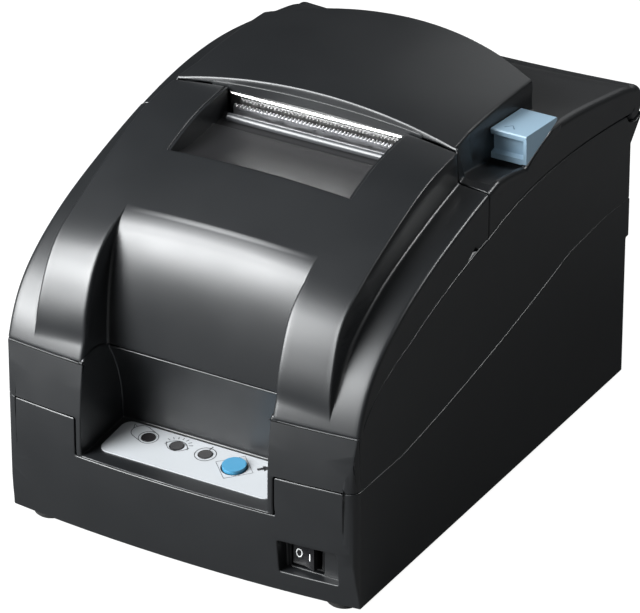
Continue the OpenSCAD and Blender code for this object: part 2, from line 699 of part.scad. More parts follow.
// Opening lever with the hook that holds the cover shut
hook_y = lever_y[0] + 6;
hook_z = body_h - 45;
module cover_lever() color([0.55, 0.68, 0.77]) difference() {
  union() {
    slab_x(lever_x[0], half_w - wall - fit_gap, [[lever_y[0], lever_top[0] - 2.2],
      [lever_y[0] - 0.4, lever_top[0] - 0.4], [lever_y[0], lever_top[0]], [lever_y[1] - 1, lever_top[1]],
      [lever_y[1], lever_top[1] - 1.4], [lever_y[1], lever_pin_at.y + 1],
      [lever_y[1] - 1, lever_pin_at.y - 2], [lever_y[1] - 5, lever_pin_at.y - 3],
      [lever_y[0] + 0.4, lever_low]]);
    // cheek that lies flush with the side of the cover
    slab_x(half_w - wall - fit_gap - eps, lever_x[1], [[lever_y[0], lever_top[0] - 2.2],
      [lever_y[0] - 0.4, lever_top[0] - 0.4], [lever_y[0], lever_top[0]], [lever_y[1] - 1, lever_top[1]],
      [lever_y[1] - 0.6, lever_top[1] - 1.2], [lever_y[1] - 1.6, body_h - 17],
      [lever_y[0] + 0.3, body_h - 25.4]]);
    box([lever_x[0] + 4, hook_y - 1.5, hook_z], [lever_x[0] + 8.4, hook_y + 1.5, lever_low + 4]);
    slab_x(lever_x[0] + 4, lever_x[0] + 8.4, [[hook_y, hook_z - 2], [hook_y + 3.4, hook_z],
      [hook_y + 3.4, hook_z + 1.4], [hook_y, hook_z + 1.4]]);
  }
  // hollow under the lip of the lever
  slab_x(lever_x[0] - 1, lever_x[1] - 1.4, [[lever_y[0] - 2, lever_low + 2], [lever_y[0] + 3, lever_low + 3],
    [lever_y[0] + 2.4, lever_top[0] - 3.4], [lever_y[0] + 0.6, lever_top[0] - 2.4],
    [lever_y[0] - 2, lever_top[0] - 2.4]]);
  rod_x(lever_x[0] - 1, lever_x[1] + 1, lever_pin_at.x, lever_pin_at.y, 1.5 + run_gap);
  // room for the coil of the spring round the pin
  rod_x(lever_x[0] + 5.4, lever_x[0] + 10.4, lever_pin_at.x, lever_pin_at.y, 3.2);
}
module lever_pin() color([0.75, 0.76, 0.78])
  rod_x(lever_x[0] - fit_gap - 2, lever_x[1] - 1, lever_pin_at.x, lever_pin_at.y, 1.5);
// Coil round the pin that turns the lever down
module lever_spring() color([0.8, 0.8, 0.82]) difference() {
  rod_x(lever_x[0] + 5.8, lever_x[0] + 10, lever_pin_at.x, lever_pin_at.y, 2.7);
  rod_x(lever_x[0] + 5, lever_x[0] + 11, lever_pin_at.x, lever_pin_at.y, 1.8);
}
// Post on the frame that the lever's hook catches
module latch_post() color([0.7, 0.71, 0.73]) {
  x = frame_w / 2 + plate_t;
  box([x, hook_y + 3.9, hook_z + 3], [lever_x[0] + 9, hook_y + 9, hook_z + 5]);
  slab_x(x, x + 2, [[hook_y + 9, hook_z + 3], [hook_y + 9, hook_z + 5], [-4, hook_z + 5],
    [-4, hook_z - 12], [4, hook_z - 12]]);
}

// ---- Print mechanism ----
paper_y = -9;
print_z = body_h - 45;
feed_z = print_z - 14;
feed_y = paper_y + roller_r + 0.4;
press_r = 4;
press_y = paper_y - press_r - 0.4;
shaft_y = -40;
shaft_z = print_z - 12;
rail_y = -34;
plate_x = frame_w / 2;
head_r = 1.8;
belt_y = -60;
belt_z = print_z - 28;
belt_h = 5;
belt_t = 1;
pulley_x = plate_x - 14;
motor_r = 12;
motor_h = 18;

module side_plate(x0) {
  slab_x(x0, x0 + plate_t, [[-78, deck_z + 2], [4, deck_z + 2], [4, body_h - 20], [-6, body_h - 17],
    [-20, body_h - 20], [-44, print_z + 8], [-78, print_z - 4]]);
}
module frame() color([0.68, 0.69, 0.7]) difference() {
  union() {
    side_plate(plate_x);
    side_plate(-plate_x - plate_t);
    box([-plate_x - plate_t, -78, deck_z], [plate_x + plate_t, 4, deck_z + 2]);
    box([-plate_x - eps, 2, deck_z + 1], [plate_x + eps, 4, deck_z + 14]);
    // ledges that the ribbon cassette rests on
    both_sides() box([plate_x - 4, cass_y[0] + 3, cass_z[0] - 2], [plate_x + eps, cass_y[1] - 3, cass_z[0]]);
    // post of the idler pulley
    rod_z(-pulley_x, belt_y, deck_z + 1, belt_z + belt_h + 2, 1.5);
    rod_z(-pulley_x, belt_y, deck_z + 1, belt_z - 1.4, 3);
    idler_stub();
  }
  at_corners(post_x, post_y) rod_z(0, 0, 0, deck_z + 5, screw_r + 0.3);
  rod_x(-far, far, shaft_y, shaft_z, shaft_r);
  rod_x(-far, far, rail_y, print_z + 9.6, head_r);
  rod_x(-far, far, feed_y, feed_z, shaft_r - 0.5 + run_gap);
  rod_x(-far, far, press_y, feed_z, 1.5 + run_gap);
  rod_x(-far, 0, pinion_at.x, pinion_at.y, 3);
  // opening over the boards for the cables
  box([-20, -40, deck_z - 1], [20, -20, deck_z + 3]);
}
module frame_screws() color([0.75, 0.76, 0.78]) at_corners(post_x, post_y) {
  rod_z(0, 0, deck_z + 2, deck_z + 4, 3);
  rod_z(0, 0, deck_z - 8, deck_z + 2, screw_r);
}
module carriage_shaft() color([0.85, 0.85, 0.87])
  rod_x(-plate_x - plate_t, plate_x + plate_t, shaft_y, shaft_z, shaft_r);
module head_rail() color([0.85, 0.85, 0.87])
  rod_x(-plate_x - plate_t, plate_x + plate_t, rail_y, print_z + 9.6, head_r);

module carriage() color([0.09, 0.09, 0.1]) difference() {
  union() {
    box([-carriage_w / 2, shaft_y - 6, shaft_z - 5.5], [carriage_w / 2, shaft_y + 6, shaft_z + 5.5]);
    box([-carriage_w / 2, shaft_y + 3, shaft_z + 2], [carriage_w / 2, -24, shaft_z + 5.5]);
    for (x = [-carriage_w / 2, carriage_w / 2 - 2.5])
      box([x, -44, shaft_z + 4], [x + 2.5, -27, print_z + 12.4]);
    // arm and clamp round the rear run of the belt
    box([-5, belt_y + pulley_r - 3, belt_z - 2], [5, shaft_y - 5, belt_z + belt_h + 3.5]);
    box([-5, shaft_y - 8, belt_z + belt_h], [5, shaft_y - 4, shaft_z - 3]);
  }
  rod_x(-far, far, shaft_y, shaft_z, shaft_r + run_gap);
  box([-far, rail_y - head_r - 0.06, print_z + 9.6 - head_r - 0.06],
    [far, rail_y + head_r + 0.06, print_z + 14]);
  box([-far, belt_y + pulley_r - 0.3, belt_z - 0.3], [far, belt_y + pulley_r + belt_t + 0.3,
    belt_z + belt_h + 0.3]);
}
module print_head() color([0.2, 0.2, 0.22]) {
  box([-11, -45.6, shaft_z + 5.5], [11, -26, print_z + 6]);
  translate([0, -26, print_z]) rotate([-90, 0, 0]) cylinder(r1 = 6.4, r2 = 4, h = 8);
  box([-3, -18.2, print_z - 3], [3, paper_y - 1.4, print_z + 3]);
}
module head_sink() color([0.62, 0.63, 0.65]) {
  box([-11, -49.6, shaft_z + 5.5], [11, -45.6, print_z + 6]);
  for (i = [-5:5]) box([i * 2.1 - 0.5, -54, shaft_z + 5.5], [i * 2.1 + 0.5, -49.6, print_z + 6]);
}

module carriage_motor() color([0.6, 0.6, 0.62]) difference() {
  union() {
    rod_z(pulley_x, belt_y, deck_z + 2, deck_z + 2 + motor_h, motor_r);
    rod_z(pulley_x, belt_y, deck_z + 2, deck_z + 3 + motor_h, 4);
  }
  rod_z(pulley_x, belt_y, deck_z + 6, far, 1.5 + run_gap);
}
module pulley(x) {
  rod_z(x, belt_y, belt_z - 1, belt_z + belt_h + 1, pulley_r - belt_t / 2 - 0.1);
  for (z = [belt_z - 1.2, belt_z + belt_h + 0.4]) rod_z(x, belt_y, z, z + 0.8, pulley_r + 0.9);
}
module motor_pulley() color([0.75, 0.74, 0.7]) {
  pulley(pulley_x);
  rod_z(pulley_x, belt_y, deck_z + 8, belt_z, 1.5);
}
module idler_pulley() color([0.75, 0.74, 0.7]) difference() {
  pulley(-pulley_x);
  rod_z(-pulley_x, belt_y, belt_z - 5, belt_z + belt_h + 5, 1.5 + run_gap);
}
module belt_loop(r) {
  translate([0, 0, 0]) for (x = [-pulley_x, pulley_x]) translate([x, belt_y]) circle(r = r);
  translate([-pulley_x, belt_y - r]) square([2 * pulley_x, 2 * r]);
}
module timing_belt() color([0.08, 0.08, 0.08]) translate([0, 0, belt_z]) linear_extrude(belt_h)
  difference() {
    belt_loop(pulley_r + belt_t);
    belt_loop(pulley_r);
  }

// Anvil behind the paper that the print head strikes
module platen() color([0.3, 0.3, 0.32]) {
  box([-plate_x, paper_y + 0.5, print_z - 5], [plate_x, paper_y + 8, print_z + 5]);
}
rail_at = [-14.8, body_h - 18.2];
module exit_guide() color([0.07, 0.07, 0.08]) difference() {
  union() {
    slab_x(-plate_x, plate_x, [[-19.6, body_h - 26], [paper_y - 1.8, body_h - 26],
      [paper_y - 1.8, body_h - 18.4], [-19.6, body_h - 21]]);
    for (x = [-plate_x, plate_x - 6]) box([x, -19, body_h - 32], [x + 6, paper_y - 3, body_h - 25]);
  }
  rod_x(-far, far, rail_at.x, rail_at.y, 1.6);
}
tear_pitch = 1.6;
module tear_bar() color([0.86, 0.86, 0.84]) {
  half = slot_w / 2 - 5;
  count = floor(2 * half / tear_pitch);
  base = body_h - 15.2;
  translate([0, paper_y - 0.8, 0]) rotate([90, 0, 0]) linear_extrude(1) polygon(concat(
    [[-half, body_h - 25], [-half, base]],
    [for (i = [0:count - 1]) each [[-half + (i + 0.5) * tear_pitch, base + 1.3],
      [-half + (i + 1) * tear_pitch, base]]],
    [[half, base], [half, body_h - 25]]));
}
module exit_rail() color([0.8, 0.8, 0.82])
  rod_x(-slot_w / 2 + 5, slot_w / 2 - 5, rail_at.x, rail_at.y, 1.6);

// ---- Paper feed ----
gear_x = -plate_x - plate_t - 1;
gear_w = 4;
feed_teeth = 36;
idler_teeth = 30;
pinion_teeth = 12;
idler_dir = 232;
pinion_dir = 197;
idler_dist = (feed_teeth + idler_teeth) * gear_m / 2;
pinion_dist = (idler_teeth + pinion_teeth) * gear_m / 2;
idler_at = [feed_y + idler_dist * cos(idler_dir), feed_z + idler_dist * sin(idler_dir)];
pinion_at = [idler_at.x + pinion_dist * cos(pinion_dir), idler_at.y + pinion_dist * sin(pinion_dir)];
module gear(teeth, phase) {
  r = teeth * gear_m / 2;
  root = r - 1.15 * gear_m;
  tip = r + 0.85 * gear_m;
  p = 360 / teeth;
  rotate(phase) polygon([for (i = [0:teeth - 1])
    for (k = [[root, -0.31], [r, -0.215], [tip, -0.1], [tip, 0.1], [r, 0.215], [root, 0.31]])
      k[0] * [cos((i + k[1]) * p), sin((i + k[1]) * p)]]);
}
module gear_on(at, teeth, phase) {
  translate([gear_x - gear_w, at.x, at.y]) rotate([90, 0, 90]) linear_extrude(gear_w) gear(teeth, phase);
}
module feed_roller() color([0.13, 0.13, 0.14]) {
  rod_x(gear_x - gear_w - 1, plate_x + plate_t - 0.2, feed_y, feed_z, shaft_r - 0.5);
  for (x = [-30, 0, 30]) rod_x(x - 9, x + 9, feed_y, feed_z, roller_r);
}
module pressure_roller() color([0.13, 0.13, 0.14]) {
  rod_x(-plate_x - plate_t, plate_x + plate_t, press_y, feed_z, 1.5);
  for (x = [-30, 0, 30]) rod_x(x - 8, x + 8, press_y, feed_z, press_r);
}
module feed_gear() color([0.9, 0.89, 0.85]) difference() {
  gear_on([feed_y, feed_z], feed_teeth, idler_dir);
  rod_x(-far, 0, feed_y, feed_z, shaft_r - 0.5);
}
idler_phase = idler_dir + 180 + 180 / idler_teeth;
pinion_phase = pinion_dir + 180 + 180 / pinion_teeth
  + (pinion_dir - idler_phase) * idler_teeth / pinion_teeth;
module idler_gear() color([0.9, 0.89, 0.85]) difference() {
  gear_on(idler_at, idler_teeth, idler_phase);
  rod_x(-far, 0, idler_at.x, idler_at.y, 1.5 + run_gap);
}
module idler_stub() {
  rod_x(gear_x - gear_w - 1, -plate_x, idler_at.x, idler_at.y, 1.5);
}
module feed_motor() color([0.6, 0.6, 0.62]) difference() {
  union() {
    rod_x(-plate_x, -plate_x + 18, pinion_at.x, pinion_at.y, 13);
    rod_x(-plate_x - plate_t, -plate_x, pinion_at.x, pinion_at.y, 3);
  }
  rod_x(-plate_x - far, -plate_x + 12, pinion_at.x, pinion_at.y, 1 + run_gap);
}
module feed_pinion() color([0.72, 0.6, 0.32]) {
  gear_on(pinion_at, pinion_teeth, pinion_phase);
  rod_x(gear_x - 1, -plate_x + 10, pinion_at.x, pinion_at.y, 1);
}

// ---- Ribbon ----
cass_y = [-81, -57];
cass_z = [print_z - 8, print_z + 9];
arm_x = [plate_x - 7, plate_x - 0.6];
knob_at = [-36, -70];
module ribbon_cassette() color([0.1, 0.1, 0.11]) difference() {
  union() {
    slab_x(-plate_x + 0.6, plate_x - 0.6, [[cass_y[0], cass_z[0]], [cass_y[1], cass_z[0]],
      [cass_y[1], cass_z[1]], [cass_y[0] + 5, cass_z[1]], [cass_y[0], cass_z[1] - 6]]);
    both_sides() box([arm_x[0], cass_y[1] - 1, cass_z[0] + 2], [arm_x[1], paper_y - 10, print_z + 6]);
  }
  both_sides() box([arm_x[0] - 1, paper_y - 14, print_z - 5.5], [arm_x[0] + 2, far, print_z + 5]);
  rod_z(knob_at.x, knob_at.y, 0, far, 3 + run_gap);
  rod_z(knob_at.x, knob_at.y, cass_z[0] + 2, cass_z[1] - 2, 8);
}
module ribbon() color([0.16, 0.1, 0.2]) translate([0, 0, print_z - 4.5]) linear_extrude(9) {
  x = arm_x[0] - 0.6;
  y = paper_y - 0.7;
  polygon([[-x - 1.2, y - 12.5], [-x, y], [x, y], [x + 1.2, y - 12.5], [x + 1.5, y - 12.4],
    [x + 0.2, y + 0.25], [-x - 0.2, y + 0.25], [-x - 1.5, y - 12.4]]);
}
module ribbon_knob() color([0.13, 0.3, 0.55]) {
  rod_z(knob_at.x, knob_at.y, cass_z[0] - 8, cass_z[1] + 0.8, 3);
  rod_z(knob_at.x, knob_at.y, cass_z[0] + 2.4, cass_z[1] - 2.4, 7);
  difference() {
    rod_z(knob_at.x, knob_at.y, cass_z[1] + 0.6, cass_z[1] + 3, 7.5);
    for (a = [0:45:315]) rod_z(knob_at.x + 8.4 * cos(a), knob_at.y + 8.4 * sin(a), 0, far, 1.6);
  }
}

// ---- Paper roll bucket ----
roll_r = roll_dia / 2 + 2;
roll_at = [52, bucket_foot_z + 8 + roll_r];
bucket_half = roll_width / 2 + 4;
module roll_bucket() color([0.1, 0.1, 0.11]) difference() {
  union() {
    intersection() {
      rod_x(-bucket_half - 2, bucket_half + 2, roll_at.x, roll_at.y, roll_r + 2);
      box([-far, -far, 0], [far, far, roll_at.y]);
    }
    for (x = [-bucket_post_x, bucket_post_x]) slab_x(x - 4, x + 4, [[bucket_post_y[0] - 5, bucket_foot_z],
      [bucket_post_y[1] + 5, bucket_foot_z], [bucket_post_y[1] + 5, bucket_foot_z + 16],
      [bucket_post_y[0] - 5, bucket_foot_z + 16]]);
    // ears of the paper-end lever
    both_sides() box([4.4, sensor_at.x - 2.5, sensor_at.y - 2.5], [6.4, sensor_at.x + 2.5, sensor_at.y + 7]);
  }
  rod_x(-bucket_half, bucket_half, roll_at.x, roll_at.y, roll_r);
  at_corners(bucket_post_x, bucket_post_y) rod_z(0, 0, 0, far, screw_r + 0.3);
  at_corners(bucket_post_x, bucket_post_y) rod_z(0, 0, bucket_foot_z + 4, far, 3.3);
  // window of the paper-end lever
  box([-4, roll_at.x - 14, 0], [4, roll_at.x + 8, bucket_foot_z + 10]);
  rod_x(-8, 8, sensor_at.x, sensor_at.y, 1 + run_gap);
}
module bucket_screws() color([0.75, 0.76, 0.78]) at_corners(bucket_post_x, bucket_post_y) {
  rod_z(0, 0, bucket_foot_z + 4, bucket_foot_z + 6, 3);
  rod_z(0, 0, bucket_foot_z - 6, bucket_foot_z + 4, screw_r);
}
// Lever that feels the end of the roll through the bucket's floor
sensor_at = [roll_at.x + 1, roll_at.y - roll_r - 7];
module paper_sensor() color([0.12, 0.12, 0.13]) {
  rod_x(-6, 6, sensor_at.x, sensor_at.y, 1);
  box([-2, sensor_at.x - 1, sensor_at.y - 8], [2, sensor_at.x + 1, sensor_at.y]);
  slab_x(-2, 2, [[sensor_at.x - 1, sensor_at.y], [sensor_at.x + 1, sensor_at.y],
    [sensor_at.x - 3, sensor_at.y + 10], [sensor_at.x - 5, sensor_at.y + 9]]);
}

// ---- Electronics ----
module main_board() color([0.1, 0.35, 0.18]) difference() {
  box([-board_x, board_y[0], board_z], [board_x, board_y[1], board_z + board_t]);
  at_corners(board_x - 6, [board_y[0] + 6, board_y[1] - 8]) rod_z(0, 0, 0, far, 1.3);
}
module board_parts() color([0.15, 0.15, 0.16]) {
  top = board_z + board_t;
  for (i = [0:2]) rod_z(-30 + i * 14, -60, top, top + 20, 5);
  for (i = [0:2]) box([8 + i * 9, -66, top], [14 + i * 9, -56, top + 14]);
  box([-14, -34, top], [10, -10, top + 2.4]);
  box([18, -36, top], [32, -22, top + 2]);
  for (y = [-44, -30, -16]) box([-40, y, top], [-32, y + 10, top + 9]);
}
module board_screws() color([0.75, 0.76, 0.78]) {
  at_corners(board_x - 6, [board_y[0] + 6, board_y[1] - 8]) {
    rod_z(0, 0, board_z + board_t, board_z + board_t + 1.6, 2);
    rod_z(0, 0, board_z - 3.5, board_z + board_t, 1);
  }
  at_corners(40, [port_y[0] + 7]) {
    rod_z(0, 0, port_board_z + board_t, port_board_z + board_t + 1.6, 2);
    rod_z(0, 0, port_board_z - 4.5, port_board_z + board_t, 1);
  }
}
module port_board() color([0.1, 0.35, 0.18]) difference() {
  box([-48, port_y[0], port_board_z], [48, port_y[1], port_board_z + board_t]);
  at_corners(40, [port_y[0] + 7]) rod_z(0, 0, 0, far, 1.3);
}
module port_shell(i, depth) {
  box([port_x[i] - port_w[i] / 2, rear_wall_y - depth, port_board_z + board_t],
    [port_x[i] + port_w[i] / 2, rear_wall_y + 0.5, port_mid_z + port_h[i] / 2]);
}
module parallel_port() color([0.72, 0.72, 0.74]) difference() {
  union() {
    port_shell(0, 12);
    box([port_x[0] - 19.5, rear_wall_y, port_mid_z - 4], [port_x[0] + 19.5, rear_wall_y + 4, port_mid_z + 4]);
  }
  box([port_x[0] - 18.7, rear_wall_y - 1, port_mid_z - 3.2], [port_x[0] + 18.7, far, port_mid_z + 3.2]);
}
module power_inlet() color([0.07, 0.07, 0.08]) difference() {
  port_shell(2, 12.8);
  difference() {
    translate([port_x[2], rear_wall_y - 8, port_mid_z]) rotate([-90, 0, 0]) cylinder(r = 5.2, h = 20);
    translate([port_x[2], rear_wall_y - 9, port_mid_z]) rotate([-90, 0, 0]) cylinder(r = 3, h = 8);
  }
}
module drawer_jack() color([0.07, 0.07, 0.08]) difference() {
  port_shell(1, 14);
  box([port_x[1] - 4.8, rear_wall_y - 10, port_mid_z - 3.4], [port_x[1] + 4.8, far, port_mid_z + 3.4]);
}

bottom_case();
middle_case();
case_posts();
rubber_feet();
case_screws();
ribbon_cover();
paper_chute();
ribbon_hinge_pins();
roll_cover();
roll_hinge_pins();
cover_guide_plate();
cover_lever();
lever_pin();
lever_spring();
latch_post();
panel_label();
status_lenses();
feed_button();
feed_spring();
panel_board();
switch_body();
power_rocker();
main_board();
board_parts();
board_screws();
port_board();
parallel_port();
power_inlet();
drawer_jack();
frame();
frame_screws();
carriage_shaft();
head_rail();
carriage();
print_head();
head_sink();
carriage_motor();
motor_pulley();
idler_pulley();
timing_belt();
platen();
exit_guide();
tear_bar();
exit_rail();
feed_roller();
pressure_roller();
feed_gear();
idler_gear();
feed_motor();
feed_pinion();
ribbon_cassette();
ribbon();
ribbon_knob();
roll_bucket();
bucket_screws();
paper_sensor();
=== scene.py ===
import json
import math

import bpy
import numpy as np
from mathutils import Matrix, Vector


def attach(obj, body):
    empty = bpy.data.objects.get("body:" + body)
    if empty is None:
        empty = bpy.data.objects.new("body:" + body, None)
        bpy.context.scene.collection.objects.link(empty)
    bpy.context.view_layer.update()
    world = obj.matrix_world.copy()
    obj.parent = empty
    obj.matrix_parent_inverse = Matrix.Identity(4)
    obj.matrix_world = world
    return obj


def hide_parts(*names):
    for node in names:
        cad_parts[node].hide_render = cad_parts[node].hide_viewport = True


bl_info = {
    "name": "Receipt printer dressing",
    "version": (1, 0, 0),
    "blender": (4, 5, 0),
    "location": "View3D > Sidebar > Printer",
    "description": "Dresses the mechanical model of a dot matrix receipt printer for pictures",
    "category": "Object",
}

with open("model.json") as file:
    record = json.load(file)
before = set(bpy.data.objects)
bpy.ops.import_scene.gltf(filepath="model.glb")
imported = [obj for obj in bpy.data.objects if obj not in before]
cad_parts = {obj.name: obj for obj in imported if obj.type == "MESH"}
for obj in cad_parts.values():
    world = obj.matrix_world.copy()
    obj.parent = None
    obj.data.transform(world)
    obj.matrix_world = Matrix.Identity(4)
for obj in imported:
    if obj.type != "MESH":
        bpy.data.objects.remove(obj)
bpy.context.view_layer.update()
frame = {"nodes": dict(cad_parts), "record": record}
MM = 0.001

# ---- Places shared with the mechanical model, in millimetres ----
# The front is bowed: FRONT_Y in the middle, SIDE_Y at the sides
HALF_W = 79.0
FRONT_Y = -119.0
BOW_RADIUS = 700.0
BOW_Y = FRONT_Y + BOW_RADIUS
SIDE_Y = FRONT_Y + HALF_W * HALF_W / (2 * BOW_RADIUS)
# Heights of the front seam, of the covers' top and of their shoulder
SILL_Z = 79.6
TOP_Z = 163.0
SHOULDER_Z = 144.3
# Hinges of the two covers, as (y, z)
HINGE = (112.0, 124.5)
BARREL_R = 7.0
RIB_HINGE = (SIDE_Y + 8.5, 66.0)
ARM_REACH = 20.8
ARM_X = (61.8, 66.6)
ARM_LEAN = math.radians(33)
# Half widths of the raised band, of the crown, of the recess and of the paper slot
BAND_HALF = 64.5
CROWN_HALF = 62.0
RECESS_HALF = 42.0
SLOT_HALF = 40.8
SLOT_FRONT = -52.5
SLOT_BACK = -7.5
SLOT_FLOOR = 139.6
SEAM_GAP = 0.6
# Thumb notch in the lower edge of the ribbon cover, as (y, z)
NOTCH = np.array([(-33, 113.6), (-21.8, 121), (-17.8, 116.6)])
# Pocket of the opening lever: its left wall, its ends and its right wall
POCKET_X = 62.3
POCKET_Y = (-6.2, 46.4)
POCKET_WALL_X = 76.6
# Point that the covers' skins are measured from, as (y, z)
CENTRE = (30.0, 40.0)


# ---- Curves in the side view, as (y, z) ----
def arc3(start, through, end, steps):
    """Parabola that starts at start, passes through half way and stops at end."""
    start, through, end = map(np.array, (start, through, end))
    pull = 2 * through - (start + end) / 2
    t = np.linspace(0, 1, steps + 1)[:, None]
    return (1 - t) ** 2 * start + 2 * t * (1 - t) * pull + t ** 2 * end


def spline(points, steps=60):
    """Smooth curve through the points, with the second derivative free at both ends."""
    p = np.array(points, float)
    gaps = np.linalg.norm(np.diff(p, axis=0), axis=1)
    s = np.concatenate([[0], np.cumsum(gaps)])
    n = len(p)
    left, right = np.eye(n), np.zeros((n, p.shape[1]))
    for i in range(1, n - 1):
        left[i, i - 1:i + 2] = gaps[i - 1] / 6, (gaps[i - 1] + gaps[i]) / 3, gaps[i] / 6
        right[i] = (p[i + 1] - p[i]) / gaps[i] - (p[i] - p[i - 1]) / gaps[i - 1]
    bend = np.linalg.solve(left, right)
    out = []
    for i in range(n - 1):
        t = np.linspace(0, gaps[i], steps, endpoint=i == n - 2)[:, None]
        a, b, g = gaps[i] - t, t, gaps[i]
        out.append(bend[i] * a ** 3 / (6 * g) + bend[i + 1] * b ** 3 / (6 * g)
                   + (p[i] / g - bend[i] * g / 6) * a + (p[i + 1] / g - bend[i + 1] * g / 6) * b)
    return np.concatenate(out)


# Outlines of the body, the band, the crown and the back of the recess, and the seams to the case
SIDE = spline([
    (SIDE_Y + 4.8, 1.5), (SIDE_Y, 44), (SIDE_Y + 2.8, SILL_Z), (SIDE_Y + 12.2, SHOULDER_Z - 45),
    (SIDE_Y + 30.5, SHOULDER_Z - 30), (SIDE_Y + 75.5, SHOULDER_Z - 12.2), (12, SHOULDER_Z - 1.2),
    (48, SHOULDER_Z - 0.2), (96, SHOULDER_Z - 7.6), (HINGE[0] + 2, HINGE[1] + BARREL_R - 0.3),
    (HINGE[0] + 6, HINGE[1] + 4)])
BAND = spline([
    (SIDE_Y + 4.4, SILL_Z + 1), (SIDE_Y + 3.6, SILL_Z + 8.5), (SIDE_Y + 7.2, TOP_Z - 58.4),
    (SIDE_Y + 15.5, TOP_Z - 43.2), (SIDE_Y + 30.5, TOP_Z - 33.5), (SIDE_Y + 63.2, TOP_Z - 19.1),
    (SIDE_Y + 82, TOP_Z - 13.1), (-10.5, TOP_Z - 10.5), (12, TOP_Z - 10.1)])
CROWN = arc3((-14, TOP_Z - 10.2), (24, TOP_Z - 6.9), (74, TOP_Z - 8.5), 40)
PANEL = arc3((SIDE_Y + 18.1, SILL_Z), (SIDE_Y + 21.1, TOP_Z - 51), (SIDE_Y + 31.5, TOP_Z - 27.6), 40)
SEAM_FRONT = np.concatenate([
    arc3((SIDE_Y + 4.2, SILL_Z + 0.4), (SIDE_Y + 17, SILL_Z + 13.2), (-74, SILL_Z + 22.8), 20),
    arc3((-74, SILL_Z + 22.8), (-42, SILL_Z + 33.4), (-10, SILL_Z + 40.4), 20)[1:]])
SEAM_REAR = np.concatenate([
    [(-30, SILL_Z + 35.8)],
    arc3((-11, SILL_Z + 40.4), (40, SILL_Z + 47.6), (HINGE[0] - 3, HINGE[1] - 2.6), 24)])


def polar(path):
    """(angle, distance) of a side-view path seen from CENTRE, with the angle rising."""
    d = np.asarray(path) - np.array(CENTRE)
    ang = np.arctan2(d[:, 1], d[:, 0])
    order = np.argsort(ang)
    return ang[order], np.hypot(d[:, 0], d[:, 1])[order]


# ---- Skins of the covers, as distances from CENTRE by x and angle ----
# FADE is the distance lost per radian past the end of an outline
TABLE_X = np.linspace(0, HALF_W, 41)
TABLE_A = np.radians(np.linspace(30, 185, 311))
FADE = 172.0
BAND_TILT = math.radians(26)
BAND_ARC = 560
CROWN_ARC = 280


def body_row(x):
    """Side profile of the body at x, bowed forward towards the middle."""
    r = np.hypot(HALF_W, BOW_Y - SIDE[:, 0])
    return np.stack([BOW_Y - np.sqrt(r * r - x * x), SIDE[:, 1]], 1)


def arched_row(path, x, half, tilt, arc, mid):
    """Side profile at x of a path at half, arched over a tilted axis of radius arc."""
    up = np.array([-math.sin(tilt), math.cos(tilt)])
    along = np.array([math.cos(tilt), math.sin(tilt)])
    q = np.array(mid) - arc * up
    a = (path - q) @ along
    r = np.hypot((path - q) @ up, half)
    return q + np.sqrt(r * r - x * x)[:, None] * up + a[:, None] * along


def surface_table(row):
    """Distances for every x and angle; past the ends of the profile they fall away by FADE."""
    table = []
    for x in TABLE_X:
        ang, dist = polar(row(x))
        past = np.maximum(ang[0] - TABLE_A, 0) + np.maximum(TABLE_A - ang[-1], 0)
        table.append(np.interp(TABLE_A, ang, dist) - FADE * past)
    return np.array(table)


BODY_TABLE = surface_table(body_row)
BAND_TABLE = surface_table(lambda x: arched_row(BAND, min(x, BAND_HALF), BAND_HALF,
                                                BAND_TILT, BAND_ARC, (-60, TOP_Z - 17)))
CROWN_TABLE = surface_table(lambda x: arched_row(CROWN, min(x, CROWN_HALF), CROWN_HALF,
                                                 0, CROWN_ARC, (30, TOP_Z - 12)))


def cubic_weights(t):
    """Weights of the four rows round a point for a smooth curve through the middle two."""
    return (0.5 * (-t ** 3 + 2 * t ** 2 - t), 0.5 * (3 * t ** 3 - 5 * t ** 2 + 2),
            0.5 * (-3 * t ** 3 + 4 * t ** 2 + t), 0.5 * (t ** 3 - t ** 2))


def look_up(table, x, ang):
    """Distance of a surface from CENTRE at each x and angle, smoothly between the table's rows."""
    fx = np.clip(np.abs(x) / HALF_W * (len(TABLE_X) - 1), 0, len(TABLE_X) - 1.001)
    fa = np.clip((ang - TABLE_A[0]) / (TABLE_A[1] - TABLE_A[0]), 0, len(TABLE_A) - 1.001)
    i, j = fx.astype(int), fa.astype(int)
    out = 0
    for k, wx in enumerate(cubic_weights(fx - i)):
        row = np.clip(np.abs(i + k - 1), 0, len(TABLE_X) - 1)
        for m, wa in enumerate(cubic_weights(fa - j)):
            out = out + wx * wa * table[row, np.clip(j + m - 1, 0, len(TABLE_A) - 1)]
    return out


def smooth_max(a, b, k):
    """Larger of two distances, blended where they are less than k apart."""
    h = np.clip(0.5 + 0.5 * (a - b) / k, 0, 1)
    return b * (1 - h) + a * h + k * h * (1 - h)


def smooth_min(a, b, k):
    """Smaller of two distances, blended where they are less than k apart."""
    return -smooth_max(-a, -b, k)


def step_down(d, height, top_round, foot_round):
    """Height left at distance d past an edge: 1 before it, 0 after, both corners rounded."""
    h = np.maximum(height, 0.01)
    rt = np.minimum(top_round, 0.45 * h)
    rf = np.minimum(foot_round, 0.4 * h)
    top = np.where(d < 0, rt - np.sqrt(np.maximum(rt * rt - np.clip(d + rt, 0, rt) ** 2, 0)), rt)
    wall = np.where(d < 0, 0, np.clip(d / 0.15, 0, 1) * (h - rt - rf))
    over = np.clip((d - 0.15) / np.maximum(rf, 0.01), 0, 1)
    foot = rf * np.sqrt(np.maximum(1 - (1 - over) ** 2, 0))
    return np.clip(1 - (top + wall + foot) / h, 0, 1)


def crown_front(x):
    """Y of the crown's front wall, bowed forward in the middle."""
    return -7.1 - 2.3 * (np.abs(x) / CROWN_HALF) ** 2


